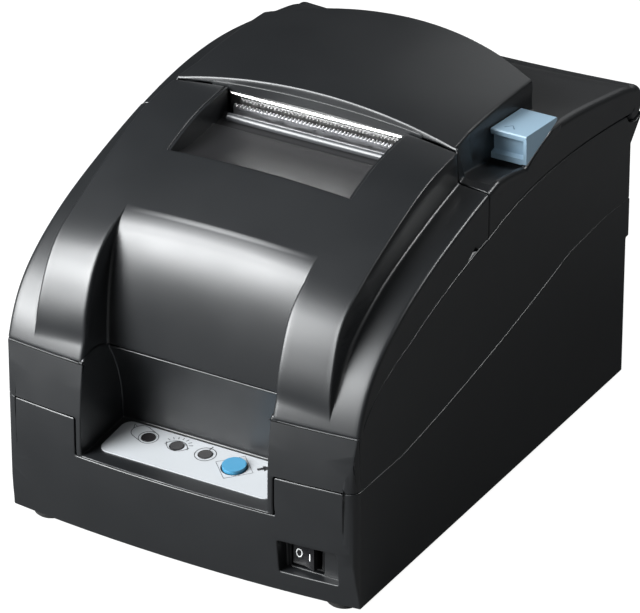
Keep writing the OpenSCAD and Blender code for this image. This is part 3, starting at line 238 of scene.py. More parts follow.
def crown_rear(x):
    """Y of the crown's rear wall, bowed back in the middle."""
    return 70 - 15.4 * (np.abs(x) / CROWN_HALF) ** 2


def gap_line(x):
    """Y of the middle of the gap between the two covers."""
    return -7.8 - 3.7 * (x / HALF_W) ** 2


def band_edge(y):
    """Half width of the band: it widens towards the foot and narrows to the crown at the back."""
    return np.interp(y, [-112, -102, -80, -14, 3],
                     [BAND_HALF + 1.6, BAND_HALF + 0.4, BAND_HALF, BAND_HALF, CROWN_HALF])


def front_skin(x, ang):
    """Outside of the ribbon cover: the body, the raised band and the recess between the wings."""
    body = look_up(BODY_TABLE, x, ang)
    band = look_up(BAND_TABLE, x, ang)
    high = smooth_max(band, body, 1.2)
    y = CENTRE[0] + high * np.cos(ang)
    keep = step_down(np.abs(x) - band_edge(y), high - body, 0.9, 1.6)
    skin = body + (high - body) * keep
    panel_a, panel_r = polar(PANEL)
    panel = np.interp(ang, panel_a, panel_r, left=400.0)
    low = smooth_min(skin, panel, 4)
    return low + (skin - low) * step_down(RECESS_HALF + 0.6 - np.abs(x), skin - low, 1.3, 1.2)


def wall_at(y, ang):
    """Distance at which a ray at each angle meets an upright wall at y."""
    run = np.cos(ang)
    ahead = run * (y - CENTRE[0]) > 0
    return np.where(ahead, (y - CENTRE[0]) / np.where(ahead, run, 1), 1000.0)


POCKET_FLOOR = polar([(-20, 141), (-6.2, TOP_Z - 23.2), (18.6, TOP_Z - 27.4), (39.2, TOP_Z - 25.4),
                      (60, TOP_Z - 23)])
POCKET_RIM = polar([(-20, TOP_Z - 22.4), (18.6, TOP_Z - 26), (43.8, TOP_Z - 17.6), (60, TOP_Z - 14)])


def roll_skin(x, ang):
    """Outside of the roll cover: the body, the end of the band, the crown and the lever's pocket."""
    body = look_up(BODY_TABLE, x, ang)
    band = look_up(BAND_TABLE, x, ang)
    crown = look_up(CROWN_TABLE, x, ang)
    crown = smooth_min(crown, wall_at(crown_rear(x), ang), 2.6)
    ahead = wall_at(crown_front(x), ang)
    front = smooth_min(crown, ahead - 0.25 * np.maximum(crown - band, 0), 1.6)
    high = smooth_max(smooth_max(band, body, 1.2), front, 0.8)
    y = CENTRE[0] + high * np.cos(ang)
    skin = body + (high - body) * step_down(np.abs(x) - band_edge(y), high - body, 1.3, 1.2)
    floor = np.interp(ang, *POCKET_FLOOR)
    rim = np.interp(ang, *POCKET_RIM)
    low = floor + (rim - floor) * step_down(POCKET_WALL_X - x, np.maximum(rim - floor, 0.01), 0.5, 0.6)
    depth = np.maximum(skin - low, 0.01)
    y = CENTRE[0] + (skin - depth / 2) * np.cos(ang)
    along = np.clip((y - POCKET_Y[0]) / 0.5, 0, 1) * np.clip((POCKET_Y[1] - y) / 0.5, 0, 1)
    along = along * along * (3 - 2 * along)
    return skin - depth * along * step_down(POCKET_X + 0.15 - x, depth, 0.9, 0.9)


def ang_at(skin, x, y_wanted):
    """Angle at which the skin's point lies at y_wanted, for each x."""
    out = []
    for xi, yi in zip(np.ravel(x), np.ravel(np.broadcast_to(y_wanted, np.shape(x)))):
        ang = np.linspace(TABLE_A[8], TABLE_A[-8], 1200)
        y = CENTRE[0] + skin(np.full(ang.shape, xi), ang) * np.cos(ang)
        out.append(np.interp(-yi, -y, ang))
    return np.reshape(out, np.shape(x))


def angle_at_height(skin, x, z_wanted):
    """Angle at which the front of the skin lies at the height z_wanted, for each x."""
    ang = np.linspace(TABLE_A[180], TABLE_A[-5], 900)
    out = [np.interp(-z_wanted, -(CENTRE[1] + skin(np.full(ang.shape, xi), ang) * np.sin(ang)), ang)
           for xi in x]
    return np.array(out)


def between(start, end, count):
    """count rows evenly spaced from start to end."""
    t = np.linspace(0, 1, count)[:, None]
    return start * (1 - t) + end * t


# ---- Mesh making ----
def new_piece(name, points, faces):
    """Object with one mesh, from points in millimetres."""
    mesh = bpy.data.meshes.new(name)
    mesh.from_pydata((np.array(points) * MM).tolist(), [], faces)
    obj = bpy.data.objects.new(name, mesh)
    bpy.context.scene.collection.objects.link(obj)
    return obj


def smooth_by_angle(mesh, degrees):
    """Shades a mesh smoothly, with edges sharper than the angle kept sharp."""
    mesh.polygons.foreach_set("use_smooth", [True] * len(mesh.polygons))
    mesh.set_sharp_from_angle(angle=math.radians(degrees))


def round_edges(obj, width, degrees, clamp):
    """Rounds the sharp edges of a piece with modifiers only; clamp holds the width back in tight spots."""
    join = obj.modifiers.new("join_seams", "WELD")
    join.merge_threshold = 0.002 * MM
    bevel = obj.modifiers.new("round_edges", "BEVEL")
    bevel.width = width * MM
    bevel.segments = 2
    bevel.limit_method = "ANGLE"
    bevel.angle_limit = math.radians(degrees)
    bevel.use_clamp_overlap = clamp
    bevel.harden_normals = True
    bevel.miter_outer = "MITER_ARC"
    level = obj.modifiers.new("flat_faces", "WEIGHTED_NORMAL")
    level.keep_sharp = True
    level.weight = 80
    smooth_by_angle(obj.data, degrees)


def unit(v):
    """Vectors brought to length 1."""
    return v / np.maximum(np.linalg.norm(v, axis=-1, keepdims=True), 1e-9)


def thick_skin(name, points, wall, rim, skip=None):
    """Moulded wall from a grid of points in millimetres: outer skin, rounded rims and inner skin."""
    rows, cols = points.shape[:2]
    index = np.arange(rows * cols).reshape(rows, cols)
    quads = np.stack([index[:-1, :-1], index[:-1, 1:], index[1:, 1:], index[1:, :-1]], -1)
    quads = quads[np.ones((rows - 1, cols - 1), bool) if skip is None else ~skip]
    verts = points.reshape(-1, 3)
    normal = np.zeros_like(verts)
    flat = np.cross(verts[quads[:, 2]] - verts[quads[:, 0]], verts[quads[:, 3]] - verts[quads[:, 1]])
    for corner in range(4):
        np.add.at(normal, quads[:, corner], flat)
    normal = unit(normal)
    # edges with a quad on one side only, and the way out of the skin there
    edges = np.stack([quads, np.roll(quads, -1, 1)], -1).reshape(-1, 2)
    total = len(verts)
    key, back = edges[:, 0] * total + edges[:, 1], edges[:, 1] * total + edges[:, 0]
    border = edges[~np.isin(key, back)]
    side = unit(np.cross(verts[border[:, 1]] - verts[border[:, 0]],
                         normal[border[:, 0]] + normal[border[:, 1]]))
    first, second = np.zeros_like(verts), np.zeros_like(verts)
    first[border[:, 0]], second[border[:, 1]] = side, side
    outward = (first + second) / np.maximum(1 + (first * second).sum(1, keepdims=True), 0.35)
    # a quarter round along those edges, then straight through the wall
    loop = np.unique(border)
    edge, out, up = verts[loop], outward[loop] * rim, normal[loop]
    rings = [edge + out * math.sin(t) - up * rim * (1 - math.cos(t))
             for t in (math.pi / 8, math.pi / 4, 3 * math.pi / 8, math.pi / 2)]
    rings.append(edge + out - up * wall)
    place_of = np.zeros(total, int)
    place_of[loop] = np.arange(len(loop))
    starts = [2 * total + k * len(loop) for k in range(len(rings))]
    strips = [border, *[start + place_of[border] for start in starts], border + total]
    faces = [quads, quads[:, ::-1] + total]
    faces += [np.stack([a[:, 1], a[:, 0], b[:, 0], b[:, 1]], -1) for a, b in zip(strips, strips[1:])]
    everything = np.vstack([verts, verts - normal * wall, *rings])
    used = np.unique(np.vstack(faces))
    renumber = np.zeros(len(everything), int)
    renumber[used] = np.arange(len(used))
    obj = new_piece(name, everything[used], renumber[np.vstack(faces)].tolist())
    smooth_by_angle(obj.data, 50)
    return obj


def flat_marks(name, strokes, at):
    """Thin printed strokes: each is a path of (u, v) and a width, or one width a point."""
    points, faces = [], []
    for path, width in strokes:
        path = np.array(path, float)
        ahead, behind = np.roll(path, -1, 0), np.roll(path, 1, 0)
        if np.allclose(path[0], path[-1]):
            ahead[-1], behind[0] = path[1], path[-2]
        else:
            ahead[-1], behind[0] = path[-1], path[0]
        along = unit(ahead - behind)
        side = np.stack([-along[:, 1], along[:, 0]], 1) * np.reshape(width, (-1, 1)) / 2
        first = len(points)
        for left, right in zip(path + side, path - side):
            points += [at(*left), at(*right)]
        faces += [(first + 2 * k, first + 2 * k + 1, first + 2 * k + 3, first + 2 * k + 2)
                  for k in range(len(path) - 1)]
    obj = new_piece(name, points, faces)
    film = obj.modifiers.new("ink_film", "SOLIDIFY")
    film.thickness = 0.03 * MM
    film.offset = 0
    return obj


def ring(u, v, ru, rv=None, start=0, stop=360, steps=40):
    """Points on a circle or ellipse."""
    t = np.radians(np.linspace(start, stop, steps + 1))
    return [(u + ru * math.cos(a), v + (rv or ru) * math.sin(a)) for a in t]


def paint(obj, material):
    """Gives an object one material."""
    obj.data.materials.clear()
    obj.data.materials.append(material)


def place(obj, material, body):
    """Paints a piece and lets it ride on a body."""
    paint(obj, material)
    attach(obj, body)


# ---- Materials ----
def new_material(name):
    """Material with its node tree, its shader and the place on the object."""
    material = bpy.data.materials.new(name)
    material.use_nodes = True
    tree = material.node_tree
    shader = tree.nodes["Principled BSDF"]
    place_at = tree.nodes.new("ShaderNodeTexCoord")
    return material, tree, shader, place_at.outputs["Object"]


def noise(tree, vector, scale, detail=2.0, stretch=None):
    """Even noise round 0.5, drawn out along one direction by stretch."""
    if stretch:
        mapping = tree.nodes.new("ShaderNodeMapping")
        mapping.inputs["Scale"].default_value = stretch
        tree.links.new(vector, mapping.inputs["Vector"])
        vector = mapping.outputs["Vector"]
    node = tree.nodes.new("ShaderNodeTexNoise")
    node.inputs["Scale"].default_value = scale
    node.inputs["Detail"].default_value = detail
    tree.links.new(vector, node.inputs["Vector"])
    return node.outputs["Fac"]


def spread(tree, value, low, high):
    """Noise brought to the range from low to high."""
    node = tree.nodes.new("ShaderNodeMapRange")
    node.inputs["From Min"].default_value = 0.3
    node.inputs["From Max"].default_value = 0.7
    node.inputs["To Min"].default_value = low
    node.inputs["To Max"].default_value = high
    tree.links.new(value, node.inputs["Value"])
    return node.outputs["Result"]


def tint(tree, value, dark, light):
    """Colour between dark and light by the value."""
    node = tree.nodes.new("ShaderNodeMix")
    node.data_type = "RGBA"
    node.inputs["A"].default_value = (*dark, 1)
    node.inputs["B"].default_value = (*light, 1)
    tree.links.new(value, node.inputs["Factor"])
    return node.outputs["Result"]


def bump(tree, height, strength, distance, shader):
    """Fine relief on a shader."""
    node = tree.nodes.new("ShaderNodeBump")
    node.inputs["Strength"].default_value = strength
    node.inputs["Distance"].default_value = distance
    tree.links.new(height, node.inputs["Height"])
    tree.links.new(node.outputs["Normal"], shader.inputs["Normal"])


def moulded_plastic(name, colour, rough, grain=0.35, depth=0.02):
    """Moulded plastic with a spark-eroded grain, uneven gloss and faint flow marks."""
    material, tree, shader, spot = new_material(name)
    fine = noise(tree, spot, 1000 / grain, 3)
    wide = noise(tree, spot, 22, 3)
    tree.links.new(tint(tree, wide, [c * 0.9 for c in colour], [c * 1.12 for c in colour]),
                   shader.inputs["Base Color"])
    tree.links.new(spread(tree, wide, rough - 0.03, rough + 0.04), shader.inputs["Roughness"])
    shader.inputs["Specular IOR Level"].default_value = 0.62
    bump(tree, fine, 0.35, depth * MM, shader)
    return material


def drawn_metal(name, colour, rough, along=(1, 12, 12), depth=0.004):
    """Metal with fine lines along one direction and a slightly uneven polish."""
    material, tree, shader, spot = new_material(name)
    lines = noise(tree, spot, 160, 4, along)
    wide = noise(tree, spot, 30, 2)
    shader.inputs["Metallic"].default_value = 1
    tree.links.new(tint(tree, wide, [c * 0.88 for c in colour], colour), shader.inputs["Base Color"])
    tree.links.new(spread(tree, lines, rough * 0.75, rough * 1.3), shader.inputs["Roughness"])
    bump(tree, lines, 0.3, depth * MM, shader)
    return material


def rubber(name, colour):
    """Rubber with a dusty, uneven skin."""
    material, tree, shader, spot = new_material(name)
    cloudy = noise(tree, spot, 90, 4)
    tree.links.new(tint(tree, cloudy, colour, [c * 1.7 + 0.004 for c in colour]),
                   shader.inputs["Base Color"])
    tree.links.new(spread(tree, cloudy, 0.65, 0.85), shader.inputs["Roughness"])
    bump(tree, noise(tree, spot, 1500, 2), 0.3, 0.03 * MM, shader)
    return material


def circuit_board(name):
    """Green solder resist with copper tracks that show through."""
    material, tree, shader, spot = new_material(name)
    tracks = tree.nodes.new("ShaderNodeTexBrick")
    tracks.inputs["Scale"].default_value = 60
    tracks.inputs["Color1"].default_value = (0.012, 0.09, 0.035, 1)
    tracks.inputs["Color2"].default_value = (0.014, 0.11, 0.045, 1)
    tracks.inputs["Mortar"].default_value = (0.03, 0.2, 0.07, 1)
    tracks.inputs["Mortar Size"].default_value = 0.03
    tree.links.new(spot, tracks.inputs["Vector"])
    tree.links.new(tracks.outputs["Color"], shader.inputs["Base Color"])
    tree.links.new(spread(tree, noise(tree, spot, 60), 0.28, 0.38), shader.inputs["Roughness"])
    return material


def make_materials():
    """Materials by the record's slot names, and the printed inks and the exit rail by their own."""
    finish = bpy.context.scene.printer_finish
    charcoal = list(finish.charcoal)
    return {
        "case": moulded_plastic("charcoal_grained_plastic", charcoal, 0.38),
        "cover": moulded_plastic("charcoal_cover_plastic", [c * 1.05 for c in charcoal], 0.36),
        "black": moulded_plastic("black_inner_plastic", (0.009, 0.009, 0.01), 0.5),
        "rocker": moulded_plastic("glossy_rocker_plastic", (0.008, 0.008, 0.009), 0.2, 0.8, 0.004),
        "feet": rubber("foot_rubber", (0.012, 0.012, 0.012)),
        "steel": drawn_metal("plated_steel", (0.6, 0.6, 0.62), 0.32, depth=0.002),
        "bright": drawn_metal("polished_rod_steel", (0.78, 0.77, 0.75), 0.2, depth=0.001),
        "zinc": drawn_metal("zinc_plated_sheet", (0.5, 0.51, 0.53), 0.4, (1, 1, 1)),
        "blue": moulded_plastic("pale_blue_plastic", list(finish.lever_blue), 0.4, 0.5, 0.012),
        "feedblue": moulded_plastic("blue_key_plastic", list(finish.key_blue), 0.3, 0.6, 0.006),
        "label": moulded_plastic("silver_label_film", list(finish.label_silver), 0.45, 0.25, 0.006),
        "lens": moulded_plastic("smoked_lens", (0.012, 0.011, 0.012), 0.12, 1.5, 0.002),
        "board": circuit_board("solder_resist"),
        "parts": moulded_plastic("component_epoxy", (0.012, 0.012, 0.013), 0.5),
        "alu": drawn_metal("cast_aluminium", (0.55, 0.56, 0.57), 0.45, (1, 1, 1), 0.02),
        "brass": drawn_metal("machined_brass", (0.62, 0.46, 0.2), 0.25),
        "rubber": rubber("roller_rubber", (0.014, 0.014, 0.015)),
        "gearwhite": moulded_plastic("natural_acetal", (0.66, 0.63, 0.56), 0.35, 0.6, 0.008),
        "ribbonink": rubber("inked_ribbon", (0.01, 0.006, 0.018)),
        "ink": moulded_plastic("printed_ink", (0.012, 0.012, 0.014), 0.5, 0.3, 0.002),
        "white_ink": moulded_plastic("white_ink", (0.75, 0.76, 0.76), 0.5, 0.3, 0.002),
        "lever_mark": moulded_plastic("lever_mark", (0.05, 0.1, 0.15), 0.5, 0.3, 0.002),
        "guide": moulded_plastic("dark_exit_rail", (0.05, 0.052, 0.056), 0.3, 0.6, 0.004),
        "knobblue": moulded_plastic("blue_knob_plastic", (0.03, 0.08, 0.22), 0.35),
    }


# filled by the first operator
MATERIALS = {}


# ---- Covers ----
def cover_columns(radius, extra):
    """Positions across the cover from the left edge to the right, closer together at the steps."""
    half = np.unique(np.round(np.concatenate([
        np.linspace(0, 36, 15), np.linspace(37.5, 40.8, 4), extra,
        np.linspace(44.5, 59, 9), [60.2, 60.9, 61.4], np.linspace(61.7, 66.8, 26), [67.4, 68.2, 69.2],
        np.linspace(70.5, HALF_W - radius, 6)]), 3))
    return np.concatenate([-half[:0:-1], half])


def edge_arc(steps=4):
    """(inward, down) of a rounded shoulder of radius 1 between the top and the side."""
    return [(1 - math.sin(t), 1 - math.cos(t)) for t in np.linspace(0, math.pi / 2, steps + 1)[1:]]


def skin_points(skin, xs, ang):
    """Grid of points of a skin in millimetres."""
    r = skin(xs, ang)
    return np.stack([xs, CENTRE[0] + r * np.cos(ang), CENTRE[1] + r * np.sin(ang)], -1)


def seam_points(seam, ang, edge_y, rim, upright_from):
    """Feet (y, z) of the flank rows on a seam, rim above it; behind upright_from they stand upright."""
    seam_a, seam_r = polar(seam)
    r = np.interp(ang, seam_a, seam_r) + rim
    slanted = np.stack([CENTRE[0] + r * np.cos(ang), CENTRE[1] + r * np.sin(ang)], -1)
    upright = np.stack([edge_y, np.interp(edge_y, seam[:, 0], seam[:, 1]) + rim], -1)
    share = np.clip((edge_y - upright_from) / 40, 0, 1)[:, None]
    share = share * share * (3 - 2 * share)
    return slanted * (1 - share) + upright * share


def with_sides(top, feet, radius, down):
    """Adds both flanks to a top skin: a rounded shoulder, then straight down to the feet."""
    flanks = []
    for sign, column in ((-1, 0), (1, -1)):
        edge = top[:, column, 1:]
        foot = feet[column]
        fall = unit(foot - edge)
        run = np.linalg.norm(foot - edge, axis=1, keepdims=True)
        foot = edge + fall * np.maximum(run, radius + 0.6)
        room = HALF_W - np.abs(top[:, column, 0])
        columns = [(HALF_W - room * near, edge + fall * radius * drop) for near, drop in edge_arc()]
        columns += [(np.full(len(top), HALF_W), (edge + fall * radius) * (1 - f) + foot * f)
                    for f in np.linspace(0, 1, down + 1)[1:]]
        flank = np.stack([np.column_stack([sign * x, yz]) for x, yz in columns], 1)
        flanks.append(flank if sign > 0 else flank[:, ::-1])
    return np.concatenate([flanks[0], top, flanks[1]], 1)


def thumb_ledge(sign):
    """Sloped ledge of the case that shows through the thumb notch of one side."""
    y = np.linspace(NOTCH[0, 0], NOTCH[-1, 0] - 1.2, 25)
    low = np.interp(y, SEAM_FRONT[:, 0], SEAM_FRONT[:, 1]) - 0.3
    high = np.maximum(np.interp(y, *NOTCH.T), low + 0.1) + 0.4
    outer = np.stack([np.full(y.shape, sign * (HALF_W - 0.3)), y, low], 1)
    inner = np.stack([sign * (HALF_W - 0.3 - 1.3 * (high - low)), y, high], 1)
    ledge = thick_skin("thumb_ledge", np.stack([inner, outer][::sign], 1), 0.8, 0.1)
    place(ledge, MATERIALS["cover"], "case")


def arm_strip(y, z, sign, wall):
    """One strip of a hinge arm, from a path seen from the side."""
    across = (np.linspace(*ARM_X, 4) * sign)[::sign]
    points = np.stack([np.broadcast_to(across, (len(y), 4)), np.repeat(y[:, None], 4, 1),
                       np.repeat(z[:, None], 4, 1)], -1)
    strip = thick_skin("hinge_arm", points, wall, 0.2)
    place(strip, MATERIALS["cover"], "ribbon_cover")


def hinge_arm(sign):
    """Curved arm under one side of the ribbon cover, with its hub and spoke."""
    y, z = RIB_HINGE
    for reach, start, stop, wall in ((ARM_REACH, 100, 31, 3.3), (4.2, 360, 0, 2.1)):
        turn = np.radians(np.linspace(start, stop, 33))
        arm_strip(y + reach * np.cos(turn), z + reach * np.sin(turn), sign, wall)
    run, half = np.linspace(3.6, ARM_REACH - 2, 5), 2.5
    arm_strip(y + run * math.cos(ARM_LEAN) - half * math.sin(ARM_LEAN),
              z + run * math.sin(ARM_LEAN) + half * math.cos(ARM_LEAN), sign, 2 * half)


def slot_side(sign):
    """Wall at one end of the paper slot, from the cover's skin down to the slot's floor."""
    y = np.linspace(SLOT_FRONT - 0.6, SLOT_BACK - 1.6, 40)
    x = np.full(y.shape, sign * (SLOT_HALF + 0.9))
    edge = skin_points(front_skin, np.abs(x), ang_at(front_skin, np.abs(x), y))[:, 2] - 0.7
    lines = [np.stack([x, y, edge * (1 - f) + SLOT_FLOOR * f], 1) for f in np.linspace(0, 1, 6)]
    side = thick_skin("slot_side", np.stack(lines[::sign], 1), 1.6, 0.2)
    place(side, MATERIALS["cover"], "ribbon_cover")


def crown_fascia():
    """Front wall of the crown, from the ribbon cover's lip up to the crown's edge."""
    x = np.linspace(-47.2, 47.2, 61)
    y = crown_front(x) - 0.12
    lip = skin_points(front_skin, x, ang_at(front_skin, x, gap_line(x) - SEAM_GAP / 2))[:, 2] + 0.9
    face = [np.stack([x, y, lip * (1 - f) + (TOP_Z - 10.4) * f], 1) for f in np.linspace(1, 0, 7)]
    return thick_skin("roll_cover_fascia", np.stack(face), 2.0, 0.2)


# ---- Printed marks ----
# where the label, the rocker's face and the lever's top lie, and the places of the signs on the label
LABEL_FRONT = (SIDE_Y + 1.5, 40.4)
LABEL_SLOPE = math.atan2(2.6, 26.1)
LABEL_ROW = 13.45
LABEL_TOP = 0.53
ROCKER_PIN = (54.5, SIDE_Y + 8.8, 20.9)
ROCKER_LEAN = math.radians(-9)
ROCKER_FACE = 3.66
LEVER_FRONT = (19.2, 150.2)
LEVER_SLOPE = 0.0873
INK_LIFT = 0.03
LINE = 0.32
LAMP_V = 4.3
FEED_KEY = (15.6, 1.8)


def roll_sign(u):
    """A paper roll seen from its end, round the first lamp."""
    v = LAMP_V
    return [(ring(u, v, 4), LINE), (ring(u - 4.6, v + 2.1, 4, None, 55, 250), LINE),
            ([(u - 2.3, v + 5.4), (u + 2.3, v + 3.3)], LINE),
            ([(u - 6, v - 1.7), (u - 1.4, v - 3.7)], LINE),
            ([(u - 8.5, v + 2.6), (u - 9.6, v + 5.7), (u - 8.2, v + 4.7)], LINE)]


def eye_sign(u):
    """Two arcs and seven rays, round the second lamp."""
    v = LAMP_V
    strokes = [(ring(u, v - 3.7, 5.6, 7, 25, 155), LINE), (ring(u, v + 3.7, 5.6, 7, 205, 335), LINE)]
    for turn in range(30, 151, 20):
        across, up = math.cos(math.radians(turn)), math.sin(math.radians(turn))
        strokes.append(([(u + 5 * across, v - 0.3 + 4.8 * up), (u + 6.6 * across, v - 0.3 + 6.2 * up)],
                        LINE))
    return strokes


def power_sign(u):
    """A ring with a short line at its top, round the third lamp."""
    return [(ring(u, LAMP_V, 4.3), LINE), ([(u, LAMP_V + 3.1), (u + 0.2, LAMP_V + 5.7)], 0.45)]


def feed_sign(u, v):
    """A square on its corner and a ring round the key, and an arrow beside it."""
    return [([(u - 8.4, v), (u, v + 8.2), (u + 8.4, v), (u, v - 8.2), (u - 8.4, v)], 0.26),
            (ring(u, v, 5.3), 0.4),
            ([(u + 8.8, v + 2.6), (u + 11.3, v + 4.8)], 1.5),
            ([(u + 10.6, v + 4.2), (u + 13, v + 6.3)], [3.6, 0.1])]


def on_label(u, v):
    """Point on the control label: u across it, v up from the row of lamps."""
    run = LABEL_ROW + v
    return (u, LABEL_FRONT[0] + run * math.cos(LABEL_SLOPE) - LABEL_TOP * math.sin(LABEL_SLOPE),
            LABEL_FRONT[1] + run * math.sin(LABEL_SLOPE) + LABEL_TOP * math.cos(LABEL_SLOPE))


def on_rocker(u, v):
    """Point on the two dished halves of the rocker, from the middle of its face."""
    depth = -ROCKER_FACE - (0.204 * -u if u < 0 else 0.281 * u)
    return (ROCKER_PIN[0] + u * math.cos(ROCKER_LEAN) - depth * math.sin(ROCKER_LEAN),
            ROCKER_PIN[1] + u * math.sin(ROCKER_LEAN) + depth * math.cos(ROCKER_LEAN),
            ROCKER_PIN[2] + v)


def on_lever(u, v):
    """Point on the sloped top of the lever."""
    return u, v, LEVER_FRONT[1] - (v - LEVER_FRONT[0]) * LEVER_SLOPE + INK_LIFT


# ---- Add-on ----
class PrinterSizes(bpy.types.PropertyGroup):
    """Sizes that a user of the dressed printer would change"""
    shoulder_round: bpy.props.FloatProperty(
        name="Shoulder rounding", description="Radius between the top and the sides of the covers",
        default=1.6 * MM, min=0.5 * MM, max=3 * MM, unit="LENGTH")
    rim_round: bpy.props.FloatProperty(
        name="Rim rounding", description="Radius along the seams and openings",
        default=0.5 * MM, min=0.1 * MM, max=1 * MM, unit="LENGTH")
    wall: bpy.props.FloatProperty(
        name="Wall", description="Thickness of the moulded covers",
        default=2.5 * MM, min=1.5 * MM, max=3 * MM, unit="LENGTH")


class PrinterFinish(bpy.types.PropertyGroup):
    """Colours of the printer's visible plastics"""
    charcoal: bpy.props.FloatVectorProperty(
        name="Charcoal", description="Case and covers", subtype="COLOR", size=3, min=0, max=1,
        default=(0.0082, 0.009, 0.01))
    lever_blue: bpy.props.FloatVectorProperty(
        name="Lever blue", description="Opening lever", subtype="COLOR", size=3, min=0, max=1,
        default=(0.25, 0.365, 0.46))
    key_blue: bpy.props.FloatVectorProperty(
        name="Key blue", description="Paper feed key", subtype="COLOR", size=3, min=0, max=1,
        default=(0.038, 0.2, 0.34))
    label_silver: bpy.props.FloatVectorProperty(
        name="Label silver", description="Film on the control panel", subtype="COLOR", size=3,
        min=0, max=1, default=(0.38, 0.395, 0.41))


class PRINTER_OT_finish_parts(bpy.types.Operator):
    """Makes the materials and gives every mechanical part the one its slot names"""
    bl_idname = "printer.finish_parts"
    bl_label = "Finish mechanical parts"

    def execute(self, context):
        MATERIALS.update(make_materials())
        for row in frame["record"]["subparts"]:
            obj = frame["nodes"][row["node"]]
            paint(obj, MATERIALS["guide" if row["node"] == "exit_rail" else row["material_slot"]])
            if row["node"] in ("middle_case", "bottom_case"):
                round_edges(obj, 0.6, 40, clamp=False)
            else:
                round_edges(obj, 0.25, 32, clamp=True)
        return {"FINISHED"}


class PRINTER_OT_make_ribbon_cover(bpy.types.Operator):
    """Moulds the front cover with its wings, band, recess and paper slot"""
    bl_idname = "printer.make_ribbon_cover"
    bl_label = "Ribbon cover"

    def execute(self, context):
        sizes = context.scene.printer_sizes
        radius, rim = sizes.shoulder_round / MM, sizes.rim_round / MM
        # columns stand close along the recess walls, and evenly where the slot begins
        near = np.array([41.1, 41.5, 41.8, 42, 42.15, 42.3, 42.45, 42.58, 42.7, 42.9, 43.2, 43.5])
        tight = cover_columns(radius, near)
        loose = cover_columns(radius, np.linspace(41.7, 43.9, len(near)))
        sill = angle_at_height(front_skin, tight, SILL_Z + SEAM_GAP + rim)
        slot = ang_at(front_skin, loose, SLOT_FRONT - rim)
        gap = ang_at(front_skin, loose, gap_line(loose) - SEAM_GAP / 2 - rim)
        rows_front, rows_slot = 96, 34
        ang = np.vstack([between(sill, slot, rows_front + 1), between(slot, gap, rows_slot + 1)[1:]])
        blend = np.clip((np.arange(len(ang)) / rows_front - 0.72) / 0.2, 0, 1)[:, None]
        top = skin_points(front_skin, tight * (1 - blend) + loose * blend, ang)
        feet = {}
        for column in (0, -1):
            foot = seam_points(SEAM_FRONT, ang[:, column], top[:, column, 1], rim, -70)
            notch = np.interp(foot[:, 0], *NOTCH.T, left=0, right=0) + rim
            foot[:, 1] = np.maximum(foot[:, 1], notch)
            feet[column] = foot
        points = with_sides(top, feet, radius, 10)
        mid_x = (points[:-1, :-1, 0] + points[:-1, 1:, 0]) / 2
        skip = np.zeros(mid_x.shape, bool)
        skip[rows_front:] = np.abs(mid_x[rows_front:]) < SLOT_HALF + rim
        shell = thick_skin("ribbon_cover_shell", points, sizes.wall / MM, rim, skip)
        place(shell, MATERIALS["cover"], "ribbon_cover")
        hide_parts("ribbon_cover")
        for sign in (-1, 1):
            thumb_ledge(sign)
            hinge_arm(sign)
            slot_side(sign)
        return {"FINISHED"}


class PRINTER_OT_make_roll_cover(bpy.types.Operator):
    """Moulds the cover of the paper roll with its crown, lever pocket and hinge barrel"""
    bl_idname = "printer.make_roll_cover"
    bl_label = "Roll cover"

    def execute(self, context):
        sizes = context.scene.printer_sizes
        radius, rim = 1.4 * sizes.shoulder_round / MM, sizes.rim_round / MM
        # extra columns close to the right side, for the thin wall of the lever's pocket
        xs = cover_columns(radius, np.array([41.4, 42.6, 43.8]))
        xs = np.unique(np.concatenate([xs, [74.9, 75.4, 75.8, 76, 76.2, 76.35, 76.5, 76.62, 76.8, 77]]))
        gap = ang_at(roll_skin, xs, gap_line(xs) + SEAM_GAP / 2 + rim)
        top_end = ang_at(roll_skin, xs, HINGE[0] - 1.5)
        # rows stand closer along the crown's front and rear walls
        steps = [np.full(60, width) for width in (0.14, 0.34, 0.14, 0.4)]
        t = np.cumsum(np.concatenate([[0], *steps]))
        t = (t / t[-1])[:, None]
        ang = gap * (1 - t) + top_end * t
        xs = np.broadcast_to(xs, ang.shape)
        # behind the pocket the last columns make room for the rounded shoulder
        behind = np.clip((skin_points(roll_skin, xs, ang)[:, -1:, 1] - POCKET_Y[1] - 1) / 4, 0, 1)
        inner = HALF_W - radius - 1
        xs = np.where(xs > inner, inner + (xs - inner) * (1 - behind + behind / (radius + 1)), xs)
        top = skin_points(roll_skin, xs, ang)
        last = top[-1]
        lift = last[:, 2] - (HINGE[1] + BARREL_R)
        turn = np.radians(np.linspace(90, -140, 34))[:, None]
        fade = np.clip(turn / math.pi * 2, 0, 1)
        barrel = np.stack([np.broadcast_to(last[:, 0], (len(turn), len(last))),
                           HINGE[0] + BARREL_R * np.cos(turn) + 0 * last[:, 0],
                           HINGE[1] + BARREL_R * np.sin(turn) + lift * fade], -1)
        top = np.concatenate([top, barrel])
        feet = {}
        for column in (0, -1):
            seam = seam_points(SEAM_REAR, ang[:, column], top[:len(ang), column, 1], rim, -70)
            feet[column] = np.concatenate([seam, np.broadcast_to(HINGE, (len(turn), 2))])
        points = with_sides(top, feet, radius, 10)
        shell = thick_skin("roll_cover_shell", points, sizes.wall / MM, rim)
        fascia = crown_fascia()
        for obj in (shell, fascia):
            place(obj, MATERIALS["cover"], "roll_cover")
        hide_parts("roll_cover")
        return {"FINISHED"}


